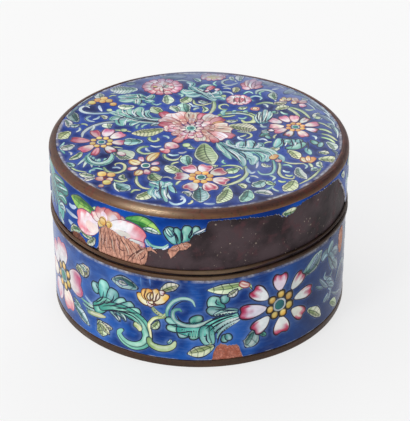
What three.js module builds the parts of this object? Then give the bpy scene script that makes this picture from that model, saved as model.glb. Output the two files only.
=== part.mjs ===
// A round covered box of enamelled copper: a straight-sided cup and a lid of the same width.
// Seven pieces, all turned about +Z, in millimetres, with the origin at the centre of the foot.
// The lid rests over a collar that stands up inside the mouth of the base.

import * as THREE from 'three';

// Driving dimensions
const WALL_R = 49.3; // outside of the copper walls, under the enamel
const SHEET = 1.0; // thickness of the copper sheet
const LID_TOP = 59.05; // highest point, on the rounded rim of the lid
const MOUTH_Z = 35.4; // top edge of the base wall
const LID_EDGE_Z = 35.8; // lower edge of the lid wall
const FOOT_HEIGHT = 2.7;
const FOOT_OUTER_R = 50.1;
const FOOT_WIDTH = 3.0;
const GAP = 0.32; // room between neighbouring pieces, so that facets never touch

// Details of single pieces
const CORNER_R = 2.4; // outer radius of the lid's rounded top rim
const STRIP = 0.6; // thickness of the folded metal strip of that rim
const LID_BEAD_HEIGHT = 1.4;
const LID_BEAD_REACH = 0.8; // how far the bead at the mouth of the lid stands out
const BASE_BEAD_HEIGHT = 1.4;
const BASE_BEAD_REACH = 0.9;
const BEAD_SETBACK = 0.2; // from the edge of a wall to its bead
const BEAD_SHOULDER = 0.25; // flat part of a bead's end before it rounds
const COLLAR_SHEET = 1.0;
const COLLAR_LOW_Z = 24;
const COLLAR_TOP_Z = 40.5;
const LID_GUSSET = 3.6; // leg of the thickening inside the corner of the lid
const BASE_FILLET = 1.5; // rounding where the base wall turns into its bottom

const TURNS = 80; // facets round every ring
const ARC_STEPS = 4; // facets in a quarter turn of a profile

// Colours of the old copper and of the brassy rims
const copper = new THREE.MeshStandardMaterial({ color: 0x453a3a, roughness: 0.6, metalness: 0.8 });
const rimMetal = new THREE.MeshStandardMaterial({ color: 0x7a5538, roughness: 0.38, metalness: 0.9 });

// Points of an arc in the (radius, height) plane, angles in degrees, both ends included.
function arc(centreR, centreZ, radius, fromDeg, toDeg, steps = ARC_STEPS) {
  return Array.from({ length: steps + 1 }, (_, i) => {
    const angle = THREE.MathUtils.degToRad(fromDeg + ((toDeg - fromDeg) * i) / steps);
    return [centreR + radius * Math.cos(angle), centreZ + radius * Math.sin(angle)];
  });
}

// Turns an outline of [radius, height] points, given counter-clockwise, about +Z.
// An outline that starts on the axis ends on it; any other is closed by repeating its first point.
function turned(name, outline, material) {
  const onAxis = outline[0][0] === 0;
  const closed = onAxis ? outline : [...outline, outline[0]];
  const profile = closed.map(([r, z]) => new THREE.Vector2(r, z));
  const geometry = new THREE.LatheGeometry(profile, TURNS);
  const mesh = new THREE.Mesh(geometry, material);
  mesh.rotation.x = Math.PI / 2; // the lathe turns about Y; this stands it up along Z
  mesh.name = name;
  return mesh;
}

// The copper cup: its bottom lies just above the foot ring.
function baseBody() {
  const low = FOOT_HEIGHT + GAP;
  const inner = WALL_R - SHEET;
  const outerCorner = arc(WALL_R - BASE_FILLET, low + BASE_FILLET, BASE_FILLET, -90, 0);
  const fillet = BASE_FILLET - SHEET;
  const innerCorner = arc(inner - fillet, low + SHEET + fillet, fillet, 0, -90, 2);
  const outline = [
    [0, low],
    ...outerCorner,
    [WALL_R, MOUTH_Z],
    [inner, MOUTH_Z],
    ...innerCorner,
    [0, low + SHEET],
  ];
  return turned('base_body', outline, copper);
}

// The ring that the box stands on, with slightly rounded lower edges.
function footRing() {
  const bevel = 0.4;
  const inner = FOOT_OUTER_R - FOOT_WIDTH;
  const outline = [
    [inner + bevel, 0],
    [FOOT_OUTER_R - bevel, 0],
    [FOOT_OUTER_R, bevel],
    [FOOT_OUTER_R, FOOT_HEIGHT],
    [inner, FOOT_HEIGHT],
    [inner, bevel],
  ];
  return turned('foot_ring', outline, rimMetal);
}

// A half-round bead laid against a wall: flat inside, an elliptic bulge outside.
function wallBead(name, lowZ, height, reach) {
  const steps = 2 * ARC_STEPS - 2;
  const inner = WALL_R + GAP;
  const shoulder = inner + BEAD_SHOULDER;
  const bulge = Array.from({ length: steps + 1 }, (_, i) => {
    const angle = (Math.PI * i) / steps - Math.PI / 2;
    const outward = Math.max(Math.cos(angle), 0);
    return [shoulder + (reach - BEAD_SHOULDER) * outward, lowZ + (height / 2) * (1 + Math.sin(angle))];
  });
  return turned(name, [[inner, lowZ], ...bulge, [inner, lowZ + height]], rimMetal);
}

// The strip inside the mouth that keeps the lid in place.
function locatingCollar() {
  const outer = WALL_R - SHEET - GAP;
  const inner = outer - COLLAR_SHEET;
  const bevel = 0.4;
  const outline = [
    [inner, COLLAR_LOW_Z],
    [outer, COLLAR_LOW_Z],
    [outer, COLLAR_TOP_Z - bevel],
    [outer - bevel, COLLAR_TOP_Z],
    [inner, COLLAR_TOP_Z],
  ];
  return turned('locating_collar', outline, copper);
}

// The copper cap: flat top, rounded corner under the rim, and a gusset inside the corner.
function lidBody() {
  const inner = WALL_R - SHEET;
  const cornerR = CORNER_R - STRIP - GAP;
  const top = LID_TOP - STRIP - GAP;
  const ceiling = top - SHEET;
  const outline = [
    [0, ceiling],
    [inner - LID_GUSSET, ceiling],
    [inner, ceiling - LID_GUSSET],
    [inner, LID_EDGE_Z],
    [WALL_R, LID_EDGE_Z],
    ...arc(WALL_R - cornerR, top - cornerR, cornerR, 0, 90),
    [0, top],
  ];
  return turned('lid_body', outline, copper);
}

// The folded strip round the top of the lid: a quarter of a tube wall.
function lidTopRim() {
  const centreR = WALL_R + GAP + STRIP - CORNER_R;
  const centreZ = LID_TOP - CORNER_R;
  const outside = arc(centreR, centreZ, CORNER_R, 0, 90, ARC_STEPS + 2);
  const inside = arc(centreR, centreZ, CORNER_R - STRIP, 90, 0, ARC_STEPS + 2);
  return turned('lid_top_rim', [...outside, ...inside], rimMetal);
}

const box = new THREE.Group();
box.add(
  baseBody(),
  footRing(),
  wallBead('base_mouth_rim', MOUTH_Z - BEAD_SETBACK - BASE_BEAD_HEIGHT, BASE_BEAD_HEIGHT, BASE_BEAD_REACH),
  locatingCollar(),
  lidBody(),
  wallBead('lid_mouth_rim', LID_EDGE_Z + BEAD_SETBACK, LID_BEAD_HEIGHT, LID_BEAD_REACH),
  lidTopRim(),
);

export default box;
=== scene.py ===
# %% [markdown]
# # A round covered box of enamelled copper
# The real box is a small cup and a lid raised from copper sheet. Both are fired with cobalt blue enamel
# and painted with flowers and scrolling leaves, and thin strips of bare metal edge them. The lid has lost
# a large part of its enamel at the front. The packed model is loaded first and never moves: it gives
# every radius and height that the enamel, the metal skins and the painting are fitted to.

# %% The packed model
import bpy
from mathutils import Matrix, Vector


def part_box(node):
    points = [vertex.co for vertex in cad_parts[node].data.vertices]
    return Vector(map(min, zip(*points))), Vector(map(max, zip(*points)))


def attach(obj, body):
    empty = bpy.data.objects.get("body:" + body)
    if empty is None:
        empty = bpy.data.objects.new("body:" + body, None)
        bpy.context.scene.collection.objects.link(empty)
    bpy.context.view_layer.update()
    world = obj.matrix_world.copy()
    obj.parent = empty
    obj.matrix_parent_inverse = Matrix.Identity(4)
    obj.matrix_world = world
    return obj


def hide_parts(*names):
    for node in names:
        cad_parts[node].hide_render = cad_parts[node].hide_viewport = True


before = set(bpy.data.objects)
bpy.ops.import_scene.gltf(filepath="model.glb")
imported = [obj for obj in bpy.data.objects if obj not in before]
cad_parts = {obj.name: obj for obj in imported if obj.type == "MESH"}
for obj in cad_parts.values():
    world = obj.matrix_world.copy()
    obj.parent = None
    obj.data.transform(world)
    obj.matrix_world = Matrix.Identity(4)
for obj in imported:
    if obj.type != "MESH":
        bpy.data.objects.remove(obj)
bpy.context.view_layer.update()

import math

import bpy
import numpy as np
from mathutils import Matrix, Vector

MM = 0.001  # all shapes below are worked out in millimetres


def reach(node):
    """Largest radius and lowest and highest height of a packed node, in millimetres."""
    low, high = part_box(node)
    return high.x / MM, low.z / MM, high.z / MM


WALL_R, LID_EDGE_Z, _ = reach("lid_body")
TOP_RIM_R, TOP_RIM_LOW, LID_TOP = reach("lid_top_rim")
LID_BEAD_R, LID_BEAD_LOW, LID_BEAD_TOP = reach("lid_mouth_rim")
BASE_BEAD_R, BASE_BEAD_LOW, BASE_BEAD_TOP = reach("base_mouth_rim")
FOOT_R, FOOT_LOW, FOOT_TOP = reach("foot_ring")
CUP_LOW = reach("base_body")[1]
print("wall radius", round(WALL_R, 2), "lid top", round(LID_TOP, 2), "foot height", round(FOOT_TOP, 2))

# %% [markdown]
# ## Camera, floor and light
# The box is seen from a little above through a long lens. A camera could be placed by typing its turn
# angles, but aiming it at a target keeps the box in view when the distance or height is changed. The
# target is the middle of the box, and a few tenths of a degree set the box slightly low and left.

# %% Camera
CAMERA_DISTANCE = 600.0
CAMERA_ELEVATION = math.radians(31.15)
TARGET = Vector((0, 0, 25.0))
LENS, SENSOR = 149.3, 36.0
CLIP_START = 0.01
LOOK_UP, LOOK_RIGHT, ROLL = (math.radians(a) for a in (0.407, 0.19, -0.1))


def place_facing(thing, place, back, turns=Matrix.Identity(4)):
    """Puts a camera or lamp at a place, looking against the direction back, and then turns it a little."""
    bpy.context.scene.collection.objects.link(thing)
    aim = (-back).to_track_quat("-Z", "Y").to_matrix().to_4x4()
    thing.matrix_world = Matrix.Translation(place) @ aim @ turns


def make_camera():
    """Puts the camera on its circle of sight, looks at the target and adds the small turns."""
    back = Vector((0, -math.cos(CAMERA_ELEVATION), math.sin(CAMERA_ELEVATION)))
    data = bpy.data.cameras.new("camera")
    data.lens, data.sensor_width, data.clip_start = LENS, SENSOR, CLIP_START
    camera = bpy.data.objects.new("camera", data)
    turns = Matrix.Rotation(LOOK_UP, 4, "X") @ Matrix.Rotation(-LOOK_RIGHT, 4, "Y")
    place_facing(camera, (TARGET + back * CAMERA_DISTANCE) * MM, back, turns @ Matrix.Rotation(ROLL, 4, "Z"))
    bpy.context.scene.camera = camera
    return camera


print("camera at", [round(v, 4) for v in make_camera().matrix_world.translation])

# %% [markdown]
# ## Mixing materials
# Each finish below is built up as a painter would: a ground colour, then one thin colour after another,
# each let through a mask. Nodes could be placed by hand in the editor. Here one small class adds them, so
# a material reads as a recipe, and colours are named as six-digit codes and made linear for the renderer.

# %% Colours


def display(code):
    """Red, green and blue of a six-digit hex colour, each from 0 to 1."""
    return np.array([int(code[k:k + 2], 16) for k in (0, 2, 4)]) / 255


def undo_curve(values):
    """Linear light of display values: the display's curve is undone."""
    return np.where(values <= 0.04045, values / 12.92, ((values + 0.055) / 1.055) ** 2.4)


def rgba(code):
    return (*undo_curve(display(code)), 1.0)


print("linear middle grey", round(rgba("808080")[0], 3))

# %% Recipes of nodes


class Recipe:
    """A tree of shader nodes being filled. Each method adds a node or two and returns the output socket."""

    def __init__(self, tree):
        self.tree = tree

    def node(self, kind, values=None, **settings):
        """Adds a node, sets its settings and its input values, and links inputs given as sockets."""
        made = self.tree.nodes.new(kind)
        for key, value in settings.items():
            setattr(made, key, value)
        for key, value in (values or {}).items():
            self.put(made.inputs[key], value)
        return made

    def put(self, socket, value):
        """Links a socket to another socket, or sets it to a plain value."""
        if isinstance(value, bpy.types.NodeSocket):
            self.tree.links.new(value, socket)
        else:
            socket.default_value = value

    def math(self, operation, a, b, clamp=False):
        return self.node("ShaderNodeMath", {0: a, 1: b}, operation=operation, use_clamp=clamp).outputs[0]

    def plus(self, a, b, clamp=False):
        return self.math("ADD", a, b, clamp)

    def minus(self, a, b, clamp=False):
        return self.math("SUBTRACT", a, b, clamp)

    def times(self, a, b):
        return self.math("MULTIPLY", a, b)

    def spread(self, value, low, high, start=0.0, end=1.0, **settings):
        """Stretches a value so that low to high becomes start to end."""
        values = {0: value, 1: low, 2: high, 3: start, 4: end}
        return self.node("ShaderNodeMapRange", values, **settings).outputs[0]

    def place(self, kind="Object"):
        """Where a point lies on the piece, which never changes when the piece or the camera moves."""
        return self.node("ShaderNodeTexCoord").outputs[kind]

    def noise(self, place, output=0, **values):
        """Soft random noise at a place; output 0 is a number and output 1 a colour."""
        return self.node("ShaderNodeTexNoise", {"Vector": place, **values}).outputs[output]

    def use(self, group, **values):
        """Places a node group with values of its own and returns its mask."""
        return self.node("ShaderNodeGroup", values, node_tree=group).outputs[0]

    def marked(self, name, output="Fac"):
        """The value or colour that the piece's own points carry under a name."""
        return self.node("ShaderNodeAttribute", attribute_name=name).outputs[output]

    def mix(self, mask, a, b, blend="MIX"):
        """Colour a turned towards colour b by the mask; colours are hex codes, linear colours or sockets."""
        a, b = (rgba(c) if isinstance(c, str) else c for c in (a, b))
        sockets = {0: mask, 6: a, 7: b}
        return self.node("ShaderNodeMix", sockets, data_type="RGBA", blend_type=blend).outputs[2]

    def tint(self, colour, code, mask, strength):
        """A colour turned towards another by the mask times the strength."""
        return self.mix(self.times(mask, strength), colour, code)


class Finish(Recipe):
    """A material being mixed: a recipe whose shader has the given plain values."""

    def __init__(self, name, **shader_values):
        self.material = bpy.data.materials.new(name)
        self.material.use_nodes = True
        super().__init__(self.material.node_tree)
        self.shader = self.tree.nodes["Principled BSDF"]
        for socket, value in shader_values.items():
            self.set(socket.replace("_", " "), value)

    def set(self, socket, value):
        self.put(self.shader.inputs[socket], value)

    def bump(self, height, strength, distance, **settings):
        """Makes the surface look raised where height is large, without moving any point."""
        values = {"Strength": strength, "Distance": distance, "Height": height}
        self.set("Normal", self.node("ShaderNodeBump", values, **settings).outputs[0])


print("a recipe can", [name for name in vars(Recipe) if not name.startswith("_")])

# %% [markdown]
# The box stands on a wide pale sheet that glows a little, as paper does between two lit screens. A plain
# white background would do for the edges, but then the box would have no soft shadow to stand in.

# %% Floor and light
FLOOR_SIZE = 6.0
PAPER_GREY, PAPER_GLOW = 0.26, 0.674
DIM_LEFT, DIM_RIGHT = 1.42, 0.24  # strength of the surround at the left and at the right


def soft_box(name, place, size, power, colour=(1, 1, 1)):
    """A square soft light at a place in metres, turned to face the box."""
    data = bpy.data.lights.new(name, "AREA")
    data.size, data.energy, data.color = size, power, colour
    place_facing(bpy.data.objects.new(name, data), place, Vector(place) - TARGET * MM)


def make_stage():
    """A pale floor, a pale surround that dims towards the right, and two soft boxes."""
    half = FLOOR_SIZE / 2
    mesh = bpy.data.meshes.new("floor")
    corners = [(-half, -half, 0), (half, -half, 0), (half, half, 0), (-half, half, 0)]
    mesh.from_pydata(corners, [], [(0, 1, 2, 3)])
    floor = bpy.data.objects.new("floor", mesh)
    bpy.context.scene.collection.objects.link(floor)
    paper = Finish("pale paper", Base_Color=(PAPER_GREY, PAPER_GREY, PAPER_GREY, 1), Roughness=0.9,
                   Specular_IOR_Level=0.1, Emission_Color=(1, 1, 1, 1), Emission_Strength=PAPER_GLOW)
    mesh.materials.append(paper.material)
    world = bpy.data.worlds.new("surround")
    world.use_nodes = True
    sky = Recipe(world.node_tree)
    sideways = sky.node("ShaderNodeSeparateXYZ", {0: sky.place("Generated")}).outputs[0]
    colour, strength = sky.tree.nodes["Background"].inputs[:2]
    sky.put(strength, sky.spread(sideways, -1.0, 1.0, DIM_LEFT, DIM_RIGHT))
    sky.put(colour, (1.0, 1.0, 1.0, 1))
    bpy.context.scene.world = world
    bpy.context.scene.view_settings.view_transform = "Standard"
    soft_box("key", (-0.72, -0.85, 1.12), 0.3, 3.9, (1.0, 0.985, 0.96))
    soft_box("back", (0.3, 1.1, 1.0), 0.6, 2.9)


make_stage()

# %% [markdown]
# ## Turned metal
# The rims are thin strips of copper bent over the edges. A Screw modifier could turn each outline into a
# ring, but hand-bent strips are never quite true, so the points are worked out here, where slow waves can
# move them. Each ring is a closed outline carried round the axis in many small steps.

# %% A piece from points and faces


def make_piece(name, points, faces, material, replaces=()):
    """Turns points in millimetres and face rows into a piece that rides on the box."""
    mesh = bpy.data.meshes.new(name)
    mesh.from_pydata((np.asarray(points).reshape(-1, 3) * MM).tolist(), [], faces)
    mesh.polygons.foreach_set("use_smooth", np.ones(len(mesh.polygons), bool))
    mesh.materials.append(material)
    piece = bpy.data.objects.new(name, mesh)
    bpy.context.scene.collection.objects.link(piece)
    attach(piece, "root")
    if replaces:
        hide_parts(*replaces)
    print(name, "has", len(mesh.vertices), "points and", len(faces), "faces")
    return piece


def points_of(piece):
    """Places of a piece's points in millimetres."""
    places = np.empty(3 * len(piece.data.vertices), np.float32)
    piece.data.vertices.foreach_get("co", places)
    return places.reshape(-1, 3) / MM


def degrees_of(x, y):
    """Degrees round the axis from the front, counted to the right."""
    return np.degrees(np.arctan2(x, -y))


def float_attribute(piece, name, values):
    """Gives every point of a piece a number under a name, for its material to read."""
    attribute = piece.data.attributes.new(name, "FLOAT", "POINT")
    attribute.data.foreach_set("value", np.asarray(values, np.float32).ravel())


def ring_faces(around, along):
    """Rows of four point numbers that close a grid both ways, as on a tyre: around steps by along steps."""
    i, j = np.meshgrid(np.arange(around), np.arange(along), indexing="ij")
    i2, j2 = (i + 1) % around, (j + 1) % along
    corners = np.stack([i * along + j, i2 * along + j, i2 * along + j2, i * along + j2], -1)
    return corners.reshape(-1, 4).tolist()


print("a ring of 6 by 4 points has", len(ring_faces(6, 4)), "faces")

# %% [markdown]
# Nothing made by hand is quite even, and three kinds of unevenness serve for the whole box. A Displace
# modifier could add them later, but then the painting wouldn't follow the glass that it lies on, so each
# is a function of place that several pieces share. All random numbers have a fixed seed.

# %% Three kinds of unevenness


def ease(low, high, value):
    """0 below low, 1 above high, and a smooth step between."""
    t = np.clip((value - low) / (high - low), 0, 1)
    return t * t * (3 - 2 * t)


def hill(value, middle, spread):
    """1 at the middle, falling off on both sides as a bell curve that is about a third at the spread."""
    return np.exp(-((value - middle) / spread) ** 2)


def noise_2d(a, b, seed, cell, octaves=4):
    """Smooth random relief between about -1 and 1: random values on square cells, eased between, added up
    in layers of half the size and half the height."""
    total, size, strength = np.zeros(np.broadcast(a, b).shape), cell, 1.0
    for layer in range(octaves):
        table = np.random.default_rng(seed + layer).uniform(-1, 1, (64, 64))
        x, y = a / size + 1000.3, b / size + 1000.7
        i, j = np.floor(x).astype(int), np.floor(y).astype(int)
        u, v = ease(0, 1, x - i), ease(0, 1, y - j)
        near = table[i % 64, j % 64] * (1 - v) + table[i % 64, (j + 1) % 64] * v
        far = table[(i + 1) % 64, j % 64] * (1 - v) + table[(i + 1) % 64, (j + 1) % 64] * v
        total = total + strength * (near * (1 - u) + far * u)
        size, strength = size / 2, strength / 2
    return total / 1.6


def waves(angle, seed, count=9, low=2):
    """A slow closed wave of size about 1 round the box: a sum of sines with fixed random phases."""
    random = np.random.default_rng(seed)
    total = np.zeros_like(angle)
    for k in range(low, low + count):
        total += np.sin(k * angle + random.uniform(0, 2 * np.pi)) * random.uniform(0.4, 1) / math.sqrt(k)
    return total / 1.6


print("waves reach", round(float(np.abs(waves(np.linspace(0, 6.28, 99), 1)).max()), 2))

# %% Surfaces of revolution


def arc(centre_r, centre_z, radius, start, end, steps):
    """Points of an arc in the radius and height plane, from start to end degrees."""
    a = np.radians(np.linspace(start, end, steps + 1))
    return np.stack([centre_r + radius * np.cos(a), centre_z + radius * np.sin(a)], -1)


def round_axis(r, turn, z):
    """Places at radius r and height z, turned by an angle in radians from the front."""
    return np.stack([r * np.sin(turn), -r * np.cos(turn), z], -1)


def turned_piece(name, outline, material, replaces=(), turns=360, dent=None):
    """Carries a closed outline of (radius, height) points, anticlockwise, round the axis.
    dent(angle, r, z) returns the changed radius and height of every point."""
    angle = np.linspace(0, 2 * np.pi, turns, endpoint=False)[:, None]
    r, z = (np.repeat(outline[None, :, k], turns, 0) for k in (0, 1))
    if dent:
        r, z = dent(angle, r, z)
    faces = ring_faces(turns, len(outline))
    return make_piece(name, round_axis(r, angle, z), faces, material, replaces)


print("a quarter arc of radius 1:", arc(0, 0, 1, 0, 90, 2).round(2).tolist())

# %% [markdown]
# ## Old copper
# Bare copper that lay under lost enamel is dark brown and matt, with pits and pale specks of glass. The
# rims are the same metal polished by handling: brown with reddish and olive clouds, and brighter where
# fingers and the table have rubbed them. On the rims there is painted light as well: a painted highlight
# on a rubbed spot at the front, painted shade on the top strip's upper part and on the right, and a
# painted grey glare at the back; the beads and the foot are also darkened all over. Painted pictures
# could give such wear, but noise can be laid on without a seam and at any size. Three masks are shared
# as node groups: clouds, specks and streaks.

# %% Shared node groups
CLOUD_DETAIL, STREAK_DETAIL = 6.0, 4.0
STREAK_STRETCH = 8.0  # how much longer streaks are than they are wide


def make_group(name, fill, **inputs):
    """A node group with the given inputs and one mask; fill(recipe, start) adds its nodes."""
    group = bpy.data.node_groups.new(name, "ShaderNodeTree")
    for socket, value in inputs.items():
        number = group.interface.new_socket(socket, in_out="INPUT", socket_type="NodeSocketFloat")
        number.default_value = value
    group.interface.new_socket("Mask", in_out="OUTPUT", socket_type="NodeSocketFloat")
    start, end = group.nodes.new("NodeGroupInput"), group.nodes.new("NodeGroupOutput")
    group.links.new(fill(Recipe(group), start.outputs), end.inputs[0])
    return group


def clouds(recipe, start):
    """Soft patches: noise, stretched so that Low and above starts to show."""
    noise = recipe.noise(recipe.place(), Scale=start["Scale"], Detail=CLOUD_DETAIL,
                         Distortion=start["Distortion"])
    return recipe.spread(noise, start["Low"], start["High"], interpolation_type="SMOOTHSTEP")


def specks(recipe, start):
    """Small round pits or specks: 1 at the middle of scattered cells, 0 away from them."""
    cells = recipe.node("ShaderNodeTexVoronoi", {"Vector": recipe.place(), "Scale": start["Scale"]})
    dots = recipe.spread(cells.outputs["Distance"], start["Size"], 0.0)
    pick = recipe.node("ShaderNodeSeparateColor", {0: cells.outputs["Color"]}).outputs[0]
    return recipe.times(dots, recipe.math("LESS_THAN", pick, start["Share"]))


def streaks(recipe, start):
    """Long streaks round the box: noise of x, y and eight times height less distance from the axis."""
    x, y, z = recipe.node("ShaderNodeSeparateXYZ", {0: recipe.place()}).outputs
    distance = recipe.math("POWER", recipe.plus(recipe.times(x, x), recipe.times(y, y)), 0.5)
    across = recipe.times(recipe.minus(z, distance), STREAK_STRETCH)
    drawn = recipe.node("ShaderNodeCombineXYZ", {0: x, 1: y, 2: across}).outputs[0]
    noise = recipe.noise(drawn, Scale=start["Scale"], Detail=STREAK_DETAIL)
    return recipe.spread(noise, start["Low"], start["High"], interpolation_type="SMOOTHSTEP")


CLOUDS = make_group("clouds", clouds, Scale=100.0, Low=0.4, High=0.6, Distortion=0.0)
SPECKS = make_group("specks", specks, Scale=600.0, Size=0.2, Share=0.3)
STREAKS = make_group("streaks", streaks, Scale=120.0, Low=0.4, High=0.6)
print("node groups:", [g.name for g in bpy.data.node_groups])

# %% Dull copper


def bare_copper(name):
    """Dull dark copper: brown clouds, reddish stains, pits, and pale specks of glass left in them."""
    copper = Finish(name, Metallic=0.12, Specular_IOR_Level=0.16)
    brown = copper.use(CLOUDS, Scale=90.0, Low=0.35, High=0.65)
    stains = copper.use(CLOUDS, Scale=240.0, Low=0.52, High=0.72, Distortion=0.6)
    pits = copper.use(SPECKS, Scale=900.0, Size=0.45, Share=0.5)
    grains = copper.use(CLOUDS, Scale=1500.0, Low=0.66, High=0.74)
    strewn = copper.use(CLOUDS, Scale=70.0, Low=0.4, High=0.66)
    flakes = copper.use(SPECKS, Scale=400.0, Size=0.17, Share=0.3)
    colour = copper.tint(copper.mix(brown, "281f22", "4b3d41"), "5c3b40", stains, 0.6)
    crumbs = copper.plus(copper.times(grains, strewn), copper.times(flakes, 0.7))
    copper.set("Base Color", copper.mix(crumbs, colour, "c4b4a2"))
    copper.set("Roughness", copper.plus(copper.times(stains, 0.15), 0.58))
    copper.bump(copper.plus(brown, copper.times(pits, -0.6)), 0.5, 0.00025)
    return copper.material


COPPER = bare_copper("bare copper")
for name in ("base_body", "lid_body", "locating_collar"):
    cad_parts[name].data.materials.clear()
    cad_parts[name].data.materials.append(COPPER)
print("bare copper on the packed cup, lid and collar")

# %% Handled copper
GLARE_GREY = "8d98b6"  # painted grey glare on the top's far edge, the rim's back and the base's left
LIT_LOW, LIT_HIGH = 0.0569, 0.0584  # heights in metres where painted shade darkens the top strip upwards
STREAK_DARK, STREAK_BROWN = "2a1912", "583624"


def rim_copper(name):
    """Handled copper strip: red-brown with dark and olive streaks along it, rubbed bright in patches.
    On top come a painted highlight, painted shade and a painted grey glare, where the strip's marks say.
    """
    rim = Finish(name, Specular_IOR_Level=0.5)
    patchy = rim.use(CLOUDS, Scale=160.0, Low=0.3, High=0.7, Distortion=0.8)
    drawn = rim.use(STREAKS, Scale=170.0, Low=0.3, High=0.7)
    green = rim.use(STREAKS, Scale=70.0, Low=0.52, High=0.68)
    rub = rim.use(STREAKS, Scale=48.0, Low=0.56, High=0.72)
    pits = rim.use(SPECKS, Scale=1100.0, Size=0.5, Share=0.35)
    red = rim.use(CLOUDS, Scale=330.0, Low=0.5, High=0.68, Distortion=1.2)
    spots = rim.use(SPECKS, Scale=420.0, Size=0.3, Share=0.22)
    both = rim.plus(patchy, drawn)
    colour = rim.mix(rim.times(both, 0.6), STREAK_DARK, STREAK_BROWN)
    for code, mask, strength in (("7a4e32", drawn, 0.3), ("4e4428", green, 0.36), ("966a42", rub, 0.55)):
        colour = rim.tint(colour, code, mask, strength)
    # Painted shade: the top strip's upper part is painted darker than its lower side, more on the right.
    height = rim.node("ShaderNodeSeparateXYZ", {0: rim.place()}).outputs[2]
    raised = rim.times(rim.spread(height, LIT_LOW, LIT_HIGH), rim.marked("warm"))
    colour = rim.mix(0.6, colour, rim.mix(raised, "7a5636", "46262a"))
    # A painted highlight brightens a rubbed spot at the front of the top strip and of the beads.
    polish, glare = rim.marked("polish"), rim.marked("haze")
    # The darkening mark is painted shade on the right of the top strip and the beads, and even elsewhere.
    for code, mask, strength in (("6c2c22", red, 0.5), ("2c1c14", spots, 0.6), (STREAK_DARK, pits, 0.7),
                                 ("dcc4a0", polish, 0.5), ("1a1412", rim.marked("grime"), 1.0)):
        colour = rim.tint(colour, code, mask, strength)
    # A painted grey glare, a reflection, covers the back of the top strip.
    rim.set("Base Color", rim.mix(glare, colour, GLARE_GREY))
    rough = rim.minus(0.46, rim.times(rub, 0.18))
    rim.set("Roughness", rim.minus(rough, rim.times(polish, 0.26), True))
    rim.set("Metallic", rim.minus(0.5, rim.times(glare, 0.5), True))
    rim.bump(rim.plus(both, rim.times(pits, -0.5)), 0.4, 0.0002)
    return rim.material


RIM = rim_copper("rim copper")
print("rim copper has", len(RIM.node_tree.nodes), "nodes")

# %% [markdown]
# ## The metal rims
# Four strips edge the box: a quarter-round one over the lid's top edge, a bead at each mouth, and the foot.
# The lid no longer sits true, so the two beads rise at the right of the front. Bending finished rings with
# a lattice could do that too; a dent function keeps each strip's own thickness and says where it rises.

# %% How the strips are bent


def slightly_bent(seed, radial, lift):
    """Returns a dent function that moves an outline by slow waves of the given sizes in millimetres."""
    def dent(angle, r, z):
        return r + radial * (waves(angle, seed) - 1) * 0.5, z + lift * (waves(angle, seed + 1) - 1) * 0.5
    return dent


def sprung(degrees):
    """Where the lid no longer sits true, at the right of the front: 1 there, fading to 0 on both sides."""
    return ease(6, 36, degrees) * (1 - ease(62, 104, degrees))


def sprung_edge(seed, low, high, foot_lift, top_lift):
    """Bends a mouth bead up where the lid is sprung: its lower edge by foot_lift, its upper edge by
    top_lift."""
    wavy = slightly_bent(seed, 0.14, 0.0)

    def dent(angle, r, z):
        r, z = wavy(angle, r, z)
        lift = foot_lift + (top_lift - foot_lift) * ((z - low) / (high - low))
        return r, z + lift * sprung(np.degrees(angle))
    return dent


print("sprung at 50 degrees:", sprung(50), "and at the left:", sprung(-50))

# %% The four metal rims
STRIP = 0.6  # thickness of the bent strip
CORNER_R = 2.4  # outer rounding of the strip on the lid's top edge
FOOT_CORNER_R, FOOT_DEPTH = 0.45, 3.0
BEAD_GAP, BEAD_LIP = 0.32, 0.25  # from the wall to the bead's back, and the flat before its round side
ARC_STEPS = 12


def top_strip():
    """The quarter-round strip on the lid: rubbed bright, with a painted highlight, at the left of the
    front, painted shade on its upper part and on the right, and a painted grey glare at the back.
    """
    centre_r, centre_z = TOP_RIM_R - CORNER_R, TOP_RIM_LOW
    outer = arc(centre_r, centre_z, CORNER_R, 0, 90, ARC_STEPS)
    inner = arc(centre_r, centre_z, CORNER_R - STRIP, 90, 0, ARC_STEPS)
    strip = turned_piece("lid_top_strip", np.vstack([outer, inner]), RIM, ["lid_top_rim"],
                         dent=slightly_bent(3, 0.12, 0.06))
    x, y, z = points_of(strip).T
    degrees = degrees_of(x, y)
    # Painted highlight on a rubbed spot at the left of the front.
    float_attribute(strip, "polish", hill(z, 58.0, 0.75) * hill(degrees, -19, 11))
    # Painted shade on the upper part, stronger on the right.
    float_attribute(strip, "warm", 0.7 + 0.3 * ease(0, 35, degrees) * (1 - ease(100, 140, degrees)))
    # Painted grey glare at the back.
    float_attribute(strip, "haze", 0.8 * hill(np.abs(degrees), 180, 18))
    # Darker at the left-back, and painted shade on the right.
    shaded_right = 0.12 * ease(0, 45, degrees) * (1 - ease(110, 150, degrees))
    float_attribute(strip, "grime", 0.34 * hill(degrees, -105, 38) + shaded_right)


def mouth_bead(name, radius, low, high, replaced, seed, foot_lift, top_lift):
    """A half-round strip at a mouth, from a flat back against the wall to a round outer side."""
    back = WALL_R + BEAD_GAP
    side = arc(0, 0, 1, -90, 90, ARC_STEPS)
    outline = np.stack([back + BEAD_LIP + (radius - back - BEAD_LIP) * side[:, 0],
                        (low + high) / 2 + (high - low) / 2 * side[:, 1]], -1)
    outline = np.vstack([outline, [[back, high], [back, low]]])
    bead = turned_piece(name, outline, RIM, [replaced],
                        dent=sprung_edge(seed, low, high, foot_lift, top_lift))
    x, y, z = points_of(bead).T
    degrees = degrees_of(x, y)
    # A painted highlight at the front.
    float_attribute(bead, "polish", 0.4 * hill(degrees, 5, 14))
    # The bead is darkened all over, and more on the right as painted shade.
    float_attribute(bead, "grime", 0.46 + 0.34 * ease(5, 40, degrees) * (1 - ease(110, 150, degrees)))


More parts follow.
